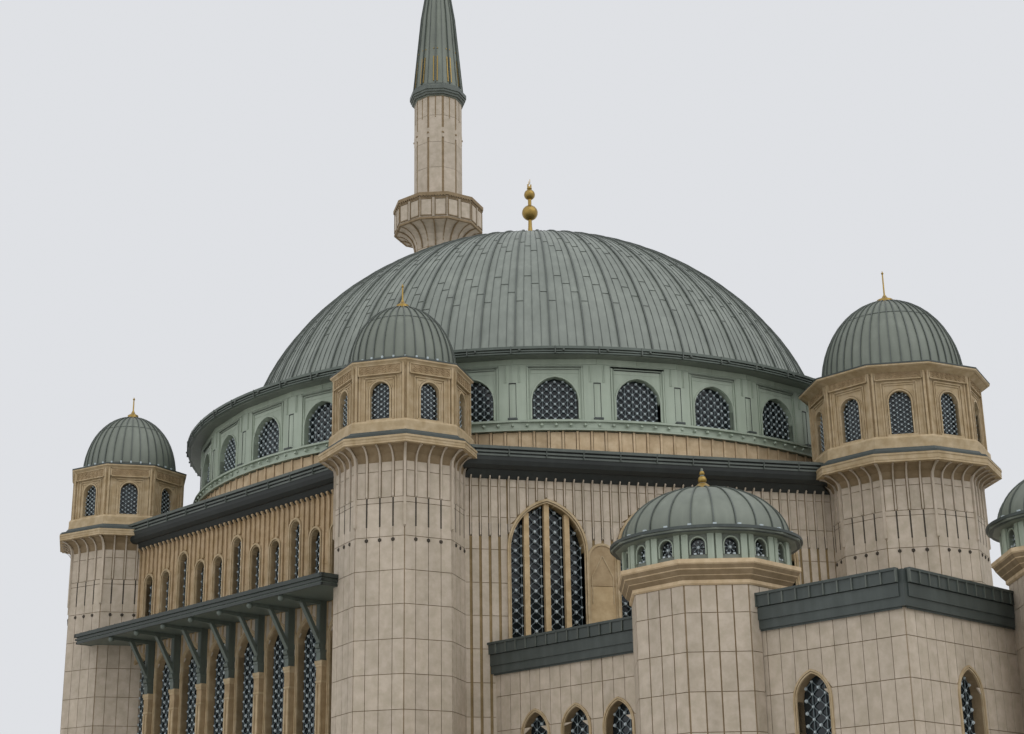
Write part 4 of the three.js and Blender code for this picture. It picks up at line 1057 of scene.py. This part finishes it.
niche_infill = bmesh.new()
for x in NICHE_PLACES:
    arch_band(wall_trim, NICHE, grown(NICHE, 0.07), relief(HALL_FACE, 0.05), x)
    block(wall_mullions, (x - NICHE[0], x + NICHE[0]), relief(HALL_FACE, 0.02), (NICHE[1], NICHE_SILL[0]))
    arch_plate(niche_infill, (NICHE[0], NICHE_SILL[1], NICHE[2], NICHE[3]), relief(HALL_FACE, 0.02), x)
    for side in (-1, 1):
        edge = x + side * NICHE_LINE
        beam(wall_trim, (edge, 12.5), (x, 13.2), -HALL_FACE - 0.025, 0.03)
        beam(wall_trim, (edge, 11.6), (edge, 12.5), -HALL_FACE - 0.025, 0.03)

door_trim = bmesh.new()
arch_band(door_trim, DOORWAY, DOOR_FRAME, relief(HALL_FACE, 0.1, 0.05), steps=10)
lower_trim, lower_panes, lower_bars, lower_studs = (bmesh.new() for _ in range(4))
for x in LOWER_PLACES:
    arched_window(lower_trim, lower_panes, lower_bars, lower_studs, x, LOWER_WINDOW, HALL_FACE, 0.3, 2,
                  LOWER_PITCH, LOWER_STUDS)

PLAIN_SIDES = {"front": (-90, "door"), "right_front": (-30, "door"), "right_back": (30, "lower"),
               "back": (90, "back"), "left_back": (150, "lower")}
for side_name, (angle, kind) in PLAIN_SIDES.items():
    turn = Matrix.Rotation(math.radians(angle + 90), 4, "Z")
    parts = [
        ("slabs", wall_slabs[kind], pale_stone, "plain_stone"),
        ("fins", wall_fins, pale_stone, "plain_stone"),
        ("slots", wall_slots, shadow_stone, "plain_stone"),
        ("window_frames", wall_trim, warm_stone, "warm_stone"),
        ("mullions", wall_mullions, mullion_stone, "warm_stone"), ("panes", wall_panes, glass, "glass"),
        ("tracery", wall_bars, tracery, "sage_metal"),
        ("tracery_studs", wall_studs, stud_material, "sage_metal"),
        ("niches", niche_infill, niche_stone, "warm_stone"),
    ]
    if kind == "door":
        parts.append(("doorway_frame", door_trim, warm_stone, "warm_stone"))
    if kind == "lower":
        parts += [("lower_frames", lower_trim, warm_stone, "warm_stone"),
                  ("lower_panes", lower_panes, glass, "glass"),
                  ("lower_tracery", lower_bars, tracery, "sage_metal"),
                  ("lower_studs", lower_studs, stud_material, "sage_metal")]
    for part_name, bm, material, slot_name in parts:
        piece(f"{side_name}_{part_name}", bm, material, turn)


# Eave of the hall: a sheet metal gutter drawn in three lines round all six sides, and a low roof with
# standing seams between the gutter and the drum.
HEXAGON = math.cos(math.pi / 6)
SEAM_PITCH = 0.55
JOINT_PITCH = 1.28
ROOF_EDGE = 15.6
DRUM_RING = 14.3
EAVE_LINES = ((15.77, 16.29, 16.35), (15.8, 16.4, 16.46), (15.83, 16.52, 16.62))
eave_lines = bmesh.new()
for apothem, low, high in EAVE_LINES:
    radius = apothem / HEXAGON
    hoop(eave_lines, radius - 0.3, radius, low, high, 6)
piece("hall_eave_lines", eave_lines, seam_metal)

roof_seams = bmesh.new()
for i in range(-13, 14):
    x = i * SEAM_PITCH
    block(roof_seams, (x - 0.015, x + 0.015), (-ROOF_EDGE, -math.sqrt(DRUM_RING ** 2 - x * x)),
          (16.59, 16.64))
around(roof_seams, 6)
piece("hall_roof_seams", roof_seams, seam_metal)

soffit_joints = bmesh.new()
for i in range(-5, 6):
    block(soffit_joints, (i * JOINT_PITCH - 0.012, i * JOINT_PITCH + 0.012), (-15.83, -ROOF_EDGE),
          (16.3, 16.6))
around(soffit_joints, 6)
piece("hall_eave_joints", soffit_joints, seam_metal)

# The cove under the eave takes the near-black soffit sheet: painted shade under the overhang
eave_cove = bmesh.new()
cove = [(15.75, 16.29), (15.73, 16.16), (15.66, 16.02), (15.52, 15.92), (15.2, 15.88), (15.2, 16.29)]
ring(eave_cove, [(out / HEXAGON, z) for out, z in cove], 6)
piece("hall_eave_cove", eave_cove, soffit_metal)


# Canopy wall: close-set sandstone ribs above the canopy with eleven small round-headed windows, every
# third one taller; eight tall windows below it, with stone piers and capitals between them.
RIB_PITCH = 0.2875
RIB_HALF = 0.045
UPPER_PLACES = [(i - 5) * 1.15 for i in range(11)]
UPPER_TOPS = (14.55, 14.55, 15.05)
UPPER_RISE = 0.26
UPPER_PITCH = (0.17, 0.3)
UPPER_STUDS = (0.055, 0.042)
CANOPY_TOP = 12.35
SHADE_TOP = 11.96
CANOPY_FOOT = 11.98
SHADE_WINDOW = (0.58, 6.0, 10.75, 11.52)
SHADE_PITCH = (0.16, 0.33)
SHADE_STUDS = (0.062, 0.048)
SHADE_SLAB = LOWER_SPACING / 4
PIER_PLACES = [(i - 3) * LOWER_SPACING for i in range(7)]

upper_windows = []
for i, x in enumerate(UPPER_PLACES):
    head = UPPER_TOPS[i % 3]
    upper_windows.append((x, (0.25, 12.75, head - UPPER_RISE, head)))
upper_edges = [(x, grown(outline, 0.1)) for x, outline in upper_windows]
ribs, rib_panels, small_trim = bmesh.new(), bmesh.new(), bmesh.new()
small_panes, small_bars, small_studs = bmesh.new(), bmesh.new(), bmesh.new()
rib_lines = [(i + 0.5) * RIB_PITCH for i in range(-23, 23)]
for x in rib_lines:
    foot = fin_foot(x, CANOPY_TOP, upper_edges)
    curled_fin(ribs, x, RIB_HALF, HALL_FACE, foot, WALL_HEAD)
    inside = [o for c, o in upper_edges if abs(x - c) < o[0]]
    if inside:
        block(ribs, (x - RIB_HALF, x + RIB_HALF), relief(HALL_FACE, 0.07), (CANOPY_TOP, inside[0][1]))
lay_slabs(rib_panels, rib_lines, ((CANOPY_TOP, WALL_HEAD, 0.075),),
          [(CANOPY_TOP, 13.28), (13.28, 14.36), (14.36, WALL_HEAD)], upper_edges, HALL_FACE - 0.01)
for x, outline in upper_windows:
    arch_band(small_trim, outline, grown(outline, 0.03), relief(HALL_FACE, 0.05, 0.36), x)
    arch_band(small_trim, grown(outline, 0.04), grown(outline, 0.1), relief(HALL_FACE, 0.09), x)
    arch_plate(small_panes, grown(outline, 0.02), relief(HALL_FACE, -0.19, 0.21), x)
    screen(small_bars, small_studs, outline, x, (x - UPPER_PITCH[0], x + UPPER_PITCH[0]), UPPER_PITCH,
           -HALL_FACE + 0.15, UPPER_STUDS, 0.02)
shade_slabs, shade_trim, shade_panes, shade_bars, shade_studs = (bmesh.new() for _ in range(5))
shade_edges = [(x, grown(SHADE_WINDOW, 0.14)) for x in LOWER_PLACES]
lay_slabs(shade_slabs, [(i - 16) * SHADE_SLAB for i in range(33)], ((0.0, SHADE_TOP, 0.012),),
          courses((11.12,), SHADE_TOP), shade_edges, HALL_FACE)
for x in LOWER_PLACES:
    arched_window(shade_trim, shade_panes, shade_bars, shade_studs, x, SHADE_WINDOW, HALL_FACE, 0.21, 3,
                  SHADE_PITCH, SHADE_STUDS)
    arch_band(shade_trim, grown(SHADE_WINDOW, WINDOW_EDGE), grown(SHADE_WINDOW, 0.15),
              relief(HALL_FACE, 0.05), x)
for x in rib_lines:
    block(ribs, (x - RIB_HALF, x + RIB_HALF), relief(HALL_FACE, 0.05),
          (fin_foot(x, 10.1, shade_edges), CANOPY_FOOT))
pier_caps = bmesh.new()
for x in PIER_PLACES:
    for half, out, z in ((0.19, 0.29, (9.9, 10.02)), (0.165, 0.27, (9.82, 9.9)),
                         (0.16, 0.265, (9.3, 9.36))):
        block(pier_caps, (x - half, x + half), relief(HALL_FACE, out), z)
    for side in (-1, 1):
        block(pier_caps, flank(side, 0.05, 0.13, x), (-HALL_FACE - 0.275, -HALL_FACE - 0.2), (1.2, 9.25))
canopy_turn = Matrix.Rotation(math.radians(-60), 4, "Z")
for part_name, bm, material, slot_name in (
    ("ribs", ribs, rib_stone, "warm_stone"), ("rib_panels", rib_panels, rib_stone, "warm_stone"),
    ("upper_frames", small_trim, warm_stone, "warm_stone"), ("upper_panes", small_panes, glass, "glass"),
    ("upper_tracery", small_bars, tracery, "sage_metal"),
    ("upper_studs", small_studs, stud_material, "sage_metal"),
    ("slabs", shade_slabs, pale_stone, "plain_stone"),
    ("lower_frames", shade_trim, warm_stone, "warm_stone"),
    ("lower_panes", shade_panes, glass, "glass"), ("lower_tracery", shade_bars, tracery, "sage_metal"),
    ("lower_studs", shade_studs, stud_material, "sage_metal"),
    ("pier_caps", pier_caps, warm_stone, "warm_stone"),
):
    piece(f"canopy_wall_{part_name}", bm, material, canopy_turn)


# Canopy: a thin sheet metal roof with a fascia drawn in three lines. Seven slender brackets in green
# sheet metal carry it: each arm ends in a ball, and a strut runs from its knee to a knot over the pier.
CANOPY_EDGE = 17.15
CANOPY_HALF = 7.5
SHEET_PITCH = 0.6
fascia = bmesh.new()
for out, low, high in ((0.02, CANOPY_FOOT, 12.06), (0.05, 12.11, 12.18), (0.08, 12.23, 12.36)):
    block(fascia, (-CANOPY_HALF - out, CANOPY_HALF + out), relief(CANOPY_EDGE, out, 0.04), (low, high))
    for side in (-1, 1):
        block(fascia, flank(side, CANOPY_HALF - 0.04, CANOPY_HALF + out), (-CANOPY_EDGE - out, -15.6),
              (low, high))
for i in range(-12, 13):
    block(fascia, (i * SHEET_PITCH - 0.015, i * SHEET_PITCH + 0.015),
          (-CANOPY_EDGE - 0.04, -HALL_FACE - 0.1), (12.34, 12.39))
piece("canopy_fascia", fascia, fascia_metal, canopy_turn)

brackets = bmesh.new()
for x in PIER_PLACES:
    bmesh.ops.create_uvsphere(brackets, u_segments=12, v_segments=8, radius=0.11,
                              matrix=Matrix.Translation((x, -CANOPY_EDGE + 0.12, 11.9)))
    for y, z, radius in ((-16.24, 11.9, 0.075), (-15.43, 10.5, 0.11)):
        place = Matrix.Translation((x, y, z)) @ Matrix.Rotation(math.pi / 2, 4, "Y")
        bmesh.ops.create_cone(brackets, cap_ends=True, segments=14, radius1=radius, radius2=radius,
                              depth=0.22, matrix=place)
    block(brackets, (x - 0.13, x + 0.13), (-15.5, -15.17), (10.3, 10.38))
    block(brackets, (x - 0.11, x + 0.11), (-15.47, -15.17), (10.01, 10.3))
    for inner, outer in ((-15.2, -15.26), (-15.44, -15.5)):
        block(brackets, (x - 0.1, x + 0.1), (outer, inner), (10.6, CANOPY_FOOT))
piece("canopy_brackets", brackets, canopy_metal, canopy_turn, 40)


# Turrets of the low wing: an eight-sided stone base faced with narrow slabs under a stepped cornice, a
# sage drum of sixteen bays with small star-filled windows between paired pilasters, and a low dome of
# seamed sheet with bright guards on its dark eave and a small gilded finial.
TURRET_FLAT = 2.134
TURRET_FACE = 0.884
TURRET_DRUM_FLAT = 2.334
TURRET_WINDOW = (0.2, 11.28, 11.56, 11.76)
TURRET_DOME = {"radius": 2.42, "rise": 1.59, "centre": 12.08}
TURRET_CORNICE = ((0.1, 10.46, 10.64), (0.22, 10.67, 10.79), (0.34, 10.82, 10.93), (0.44, 10.97, 11.12))
TURRET_SEAMS = 24
TURRET_BAYS = 16
TURRET_EDGE = 2.31
STAR_HEIGHT = 11.5
STAR_RADIUS = 0.15
TURRET_PLACES = {"left": (-11.95, -18.86), "right": (11.95, -18.86), "end_left": (-6.05, -27.7),
                 "end_right": (6.05, -27.7)}
WING_TURN = Matrix.Rotation(math.radians(30), 4, "Z")

base_slabs = bmesh.new()
for low, high in courses((9.7,), 10.46):
    for i in range(4):
        left = -TURRET_FACE + i * TURRET_FACE / 2
        block(base_slabs, (left + 0.02, left + TURRET_FACE / 2 - 0.02), relief(TURRET_FLAT, SLAB_DEPTH),
              (low + 0.01, high - 0.01))
around(base_slabs, 8)

base_cornice = bmesh.new()
for out, low, high in TURRET_CORNICE:
    edge = TURRET_EDGE + out
    ring(base_cornice, [(2.2, low), (edge - 0.05, low), (edge, low + 0.04), (edge, high), (2.2, high)], 8)

bay_carving, star_bars, star_studs, star_panes = (bmesh.new() for _ in range(4))
arch_band(bay_carving, TURRET_WINDOW, grown(TURRET_WINDOW, 0.035), relief(TURRET_DRUM_FLAT, 0.04, 0.14))
for side in (-1, 1):
    block(bay_carving, flank(side, 0.27, 0.45), relief(TURRET_DRUM_FLAT, 0.07), (11.12, 11.92))
    block(star_studs, flank(side, 0.05, 0.12), relief(TURRET_DRUM_FLAT, 0.02, 0.06), (11.28, 11.33))
arch_plate(star_panes, grown(TURRET_WINDOW, 0.01), relief(TURRET_DRUM_FLAT, -0.15, 0.17))
for i in range(8):
    angle = math.tau * i / 8
    x, z = STAR_RADIUS * math.cos(angle), STAR_HEIGHT + STAR_RADIUS * math.sin(angle)
    beam(star_bars, (x / 3, STAR_HEIGHT + (z - STAR_HEIGHT) / 3), (x, z), -TURRET_DRUM_FLAT + 0.1, 0.02)
    stud(star_studs, x, z, -TURRET_DRUM_FLAT + 0.08, 0.022)
stud(star_studs, 0, STAR_HEIGHT, -TURRET_DRUM_FLAT + 0.08, 0.06)
for unit in (bay_carving, star_bars, star_studs, star_panes):
    turned_by(unit, 180 / TURRET_BAYS)
    around(unit, TURRET_BAYS)

turret_eave = bmesh.new()
for radius, low, high in ((2.7, 11.88, 11.93), (2.78, 11.95, 12.03)):
    hoop(turret_eave, 2.42, radius, low, high, 64)
turret_guards = bmesh.new()
block(turret_guards, (-0.05, 0.05), (-2.68, -2.62), (12.03, 12.1))
around(turret_guards, TURRET_SEAMS)
turret_skin = bmesh.new()
skin_outer = dome_curve(TURRET_DOME, 0, 0.02, 1.5, 18)
skin_inner = dome_curve(TURRET_DOME, 0.05, 0.02, 1.5, 18)[::-1]
ring(turret_skin, [(2.7, 12.03), (2.44, 12.1)] + skin_outer + skin_inner + [(2.4, 12.03)], 72)
turret_seams = bmesh.new()
seam(turret_seams, TURRET_DOME, 0.04, 0.035, 0.02, 1.44, 14)
around(turret_seams, TURRET_SEAMS)
ring(turret_seams, [(0.3, 13.62), (0.38, 13.62), (0.36, 13.69), (0.3, 13.69)], 32)
turret_gold = bmesh.new()
turret_rod = [(0, 13.55), (0.31, 13.6), (0.32, 13.7), (0.24, 13.78), (0.13, 13.88)]
turret_rod += ball_points(0.13, 13.99, 0.05, 8) + ball_points(0.08, 14.19, 0.03, 8)
ring(turret_gold, turret_rod + [(0.02, 14.3), (0, 14.36)], 24, closed=False)

for name, (x, y) in TURRET_PLACES.items():
    place = WING_TURN @ Matrix.Translation((x, y, 0))
    for part_name, bm, material, slot_name, smooth in (
        ("slabs", base_slabs, pale_stone, "plain_stone", None),
        ("cornice", base_cornice, ring_stone, "warm_stone", None),
        ("bays", bay_carving, sage_metal, "sage_metal", None),
        ("star_bars", star_bars, tracery, "sage_metal", None),
        ("star_studs", star_studs, stud_material, "sage_metal", None),
        ("panes", star_panes, glass, "glass", None),
        ("eave", turret_eave, eave_metal, "dark_metal", 30),
        ("guards", turret_guards, stud_material, "sage_metal", None),
        ("roof_skin", turret_skin, small_dome_metal, "roof_metal", 40),
        ("roof_seams", turret_seams, seam_metal, "roof_metal", 50),
        ("finial", turret_gold, gold_leaf, "gilt_metal", 40),
    ):
        piece(f"turret_{name}_{part_name}", bm, material, place, smooth)


# Minaret: ten-sided, faced with tall slabs between grooves on its corners. The grooves stop for a row of
# round marks near the top. A balcony with two framed panels a side stands on a ribbed flare, and the
# tall sheet metal cap above has gilded bars and dots round its foot.
MINARET = (-0.35, 19.0)
MINARET_FLAT = 1.303
MINARET_FACE = 0.4233
GALLERY_FLAT = 2.38
GALLERY_FACE = 0.7725
MARK_HEIGHT = 45.0
GROOVE_GAP = 0.3
MINARET_SLAB = 0.36
MINARET_JOINTS = (39.45, 41.2, 42.8, 44.4, 46.1, 47.3)
MINARET_SIDES = 10
HALF_SIDE = 180 / MINARET_SIDES
NECK_HALF = 2.2
NECK_SLAB = 0.44

shaft_slabs = bmesh.new()
pairs = courses((37.4,), 37.9, 13.9) + list(zip(MINARET_JOINTS, MINARET_JOINTS[1:]))
for low, high in pairs:
    block(shaft_slabs, (-MINARET_SLAB, MINARET_SLAB), relief(MINARET_FLAT, 0.035),
          (low + 0.01, high - 0.01))
for side in (-1, 1):
    block(shaft_slabs, flank(side, MINARET_SLAB, MINARET_FACE + 0.008), relief(MINARET_FLAT, 0.034),
          (MARK_HEIGHT - GROOVE_GAP, MARK_HEIGHT + GROOVE_GAP))
shaft_marks = bmesh.new()
stud(shaft_marks, 0, 46.0, -MINARET_FLAT - 0.03, 0.055)
block(shaft_marks, (-0.03, 0.03), relief(MINARET_FLAT, 0.04, 0), (46.05, 47.35))
for unit in (shaft_slabs, shaft_marks):
    turned_by(unit, HALF_SIDE)
    around(unit, MINARET_SIDES)
corner_marks = bmesh.new()
stud(corner_marks, 0, MARK_HEIGHT, -1.41, 0.085)
around(corner_marks, MINARET_SIDES)
neck_slabs = bmesh.new()
for low, high in courses((9.63,), 10.85):
    for i in range(10):
        left = -NECK_HALF + i * NECK_SLAB
        block(neck_slabs, (left + 0.01, left + NECK_SLAB - 0.01), relief(NECK_HALF, SLAB_DEPTH),
              (low + 0.01, high - 0.01))
around(neck_slabs, 4)

gallery_trim, gallery_lines, gallery_panels = bmesh.new(), bmesh.new(), bmesh.new()
for side in (-1, 1):
    x0, x1 = flank(side, 0.075, GALLERY_FACE - 0.04)
    for x, z in (((x0, x1), (40.34, 40.38)), ((x0, x1), (39.32, 39.36)), ((x0, x0 + 0.035), (39.32, 40.38)),
                 ((x1 - 0.035, x1), (39.32, 40.38))):
        block(gallery_lines, x, relief(GALLERY_FLAT, 0.05), z)
    block(gallery_panels, (x0 + 0.06, x1 - 0.06), relief(GALLERY_FLAT, 0.03), (39.39, 40.31))
    block(gallery_panels, flank(side, 0.01, 0.06), relief(GALLERY_FLAT, 0.06), (39.26, 40.42))
for i in range(-4, 5):
    block(gallery_lines, (i * 0.16 - 0.04, i * 0.16 + 0.04), relief(GALLERY_FLAT, 0.09), (40.48, 40.54))
for unit in (gallery_lines, gallery_panels):
    turned_by(unit, HALF_SIDE)
    around(unit, MINARET_SIDES)
for radius, low, high in ((2.54, 40.42, 40.48), (2.6, 40.54, 40.73), (2.54, 39.14, 39.25)):
    hoop(gallery_trim, 2.4, radius, low, high, MINARET_SIDES)
turned_by(gallery_trim, HALF_SIDE)
flare_ribs = bmesh.new()
flare = [(1.3 + 1.04 * (1 - math.cos(a)), 37.98 + 1.15 * math.sin(a)) for a in quarter_turn(8)]
flare_back = [(r - 0.25, z + 0.05) for r, z in flare[::-1]]
rib(flare_ribs, [(r + 0.07, z - 0.02) for r, z in flare] + flare_back, (-0.032, 0.032))
around(flare_ribs, 2 * MINARET_SIDES)

cap_seams, cap_rings, cap_gold = bmesh.new(), bmesh.new(), bmesh.new()
cap_line = [(1.46, 48.17), (1.01, 53.0), (0.16, 58.4)]
rib(cap_seams, [(r + 0.03, z) for r, z in cap_line] + [(r - 0.12, z) for r, z in cap_line[::-1]],
    (-0.018, 0.018))
around(cap_seams, 2 * MINARET_SIDES)
for radius, low, high in ((1.55, 47.42, 47.5), (1.62, 47.56, 47.64), (1.67, 47.7, 47.93),
                          (1.52, 48.03, 48.13)):
    hoop(cap_rings, 1.35, radius, low, high, MINARET_SIDES)
turned_by(cap_rings, HALF_SIDE)
for x in (-0.11, 0.11):
    rib(cap_gold, [(1.41, 48.3), (1.35, 48.3), (1.19, 50.0), (1.25, 50.0)], (x - 0.025, x + 0.025))
    stud(cap_gold, x, 50.55, -1.18, 0.05)
turned_by(cap_gold, HALF_SIDE)
around(cap_gold, MINARET_SIDES)
tip_gold = bmesh.new()
tip_rod = [(0, 58.3), (0.2, 58.3), (0.22, 58.5), (0.12, 58.7)]
tip_rod += ball_points(0.3, 59.05, 0.08, 8) + ball_points(0.21, 59.7, 0.07, 8)
ring(tip_gold, tip_rod + [(0.05, 60.0), (0.03, 60.55), (0, 60.6)], 24, closed=False)
minaret_place = Matrix.Translation((MINARET[0], MINARET[1], 0))
for part_name, bm, material, slot_name, smooth in (
    ("slabs", shaft_slabs, pale_stone, "plain_stone", None),
    ("marks", shaft_marks, recess_stone, "plain_stone", None),
    ("corner_marks", corner_marks, recess_stone, "plain_stone", None),
    ("base_slabs", neck_slabs, pale_stone, "plain_stone", None),
    ("gallery_mouldings", gallery_trim, recess_stone, "warm_stone", None),
    ("gallery_lines", gallery_lines, recess_stone, "warm_stone", None),
    ("gallery_panels", gallery_panels, pale_stone, "plain_stone", None),
    ("flare_ribs", flare_ribs, recess_stone, "plain_stone", 40),
    ("cap_seams", cap_seams, seam_metal, "roof_metal", None),
    ("cap_rings", cap_rings, seam_metal, "sage_metal", None),
    ("cap_gilding", cap_gold, gold_leaf, "gilt_metal", None),
    ("finial", tip_gold, gold_leaf, "gilt_metal", 40),
):
    piece(f"minaret_{part_name}", bm, material, minaret_place, smooth)


# Low wing: its walls are faced with the same narrow slabs, with tall pointed windows and one
# doorway. The parapet is clad in dark standing-seam sheet over a plain darker band.
WING_HALF = 12.35
WING_REACH = 25.55
WING_HEAD = 9.25
WING_SLAB = 0.44
WING_SEAM = 0.45
WING_WINDOW = (0.53, 3.2, 7.2, 7.9)
PARAPET = (9.55, 9.86, 10.2)
wing_courses = courses((8.53,), WING_HEAD)
WING_SIDES = {
    "end": (WING_REACH, 0, (-WING_HALF, WING_HALF), (-9.6, -2.6, 2.6, 9.6)),
    "left": (WING_HALF, -90, (9.3, WING_REACH), (12.15, 13.88, 15.61, 22.55)),
    "right": (WING_HALF, 90, (-WING_REACH, -9.3), (-12.15, -13.88, -15.61, -22.55)),
}
for side_name, (face, angle, span, places) in WING_SIDES.items():
    slabs, trim, panes, bars, studs, seams, band = (bmesh.new() for _ in range(7))
    edges = [(x, grown(WING_WINDOW, WINDOW_EDGE)) for x in places]
    if side_name == "end":
        edges.append((0.0, DOOR_FRAME))
        arch_band(trim, DOORWAY, DOOR_FRAME, relief(face, 0.1, 0.05), steps=10)
    count = round((span[1] - span[0]) / WING_SLAB)
    lines = [span[0] + (span[1] - span[0]) * i / count for i in range(count + 1)]
    lay_slabs(slabs, lines, ((0.0, WING_HEAD, 0.01),), wing_courses, edges, face)
    for x in places:
        arched_window(trim, panes, bars, studs, x, WING_WINDOW, face, 0.25, 2, LOWER_PITCH, LOWER_STUDS)
    for low, high, out in ((9.2, 9.3, 0.08), (PARAPET[0] - 0.05, PARAPET[1] - 0.02, 0.19),
                           (PARAPET[1], PARAPET[2], 0.24), (PARAPET[2] - 0.03, PARAPET[2] + 0.04, 0.28)):
        block(band, (span[0], span[1]), (-face - out, -face - 0.1), (low, high))
    steps = round((span[1] - span[0]) / WING_SEAM)
    for i in range(steps + 1):
        x = span[0] + (span[1] - span[0]) * i / steps
        block(seams, (x - 0.02, x + 0.02), (-face - 0.28, -face - 0.2), (PARAPET[1], PARAPET[2]))
    turn = WING_TURN @ Matrix.Rotation(math.radians(angle), 4, "Z")
    for part_name, bm, material, slot_name in (
        ("slabs", slabs, pale_stone, "plain_stone"), ("window_frames", trim, warm_stone, "warm_stone"),
        ("panes", panes, glass, "glass"), ("tracery", bars, tracery, "sage_metal"),
        ("studs", studs, stud_material, "sage_metal"), ("parapet", band, eave_metal, "dark_metal"),
        ("parapet_seams", seams, seam_metal, "roof_metal"),
    ):
        piece(f"wing_{side_name}_{part_name}", bm, material, turn)


# Flat roof of the wing: square concrete pavers laid dry on supports behind the parapet, with narrow open
# joints, up to the walls of the hall and the feet of the tower and the turrets.
PAVER = 0.5
PAVER_LAP = 0.2
PAVER_HALF = PAVER * 0.48
PAVER_LEVEL = (9.54, 9.575)
PAVER_START = -5.25
PAVER_COUNT = (48, 40)
OBSTACLES = [(0.0, -18.05, 2.6)] + [(x, y, 2.2) for x, y in TURRET_PLACES.values()]
roof_pavers = bmesh.new()
for i in range(PAVER_COUNT[0]):
    for j in range(PAVER_COUNT[1]):
        x, y = (i - 23.5) * PAVER, PAVER_START - j * PAVER
        from_hall = abs(x) * math.sin(math.pi / 6) - y * math.cos(math.pi / 6) - HALL_FACE
        clear = min(math.hypot(x - a, y - b) - radius for a, b, radius in OBSTACLES)
        if min(from_hall, clear) > -PAVER_LAP:
            block(roof_pavers, (x - PAVER_HALF, x + PAVER_HALF), (y - PAVER_HALF, y + PAVER_HALF),
                  PAVER_LEVEL)
piece("wing_roof_pavers", roof_pavers, paver_stone, WING_TURN)
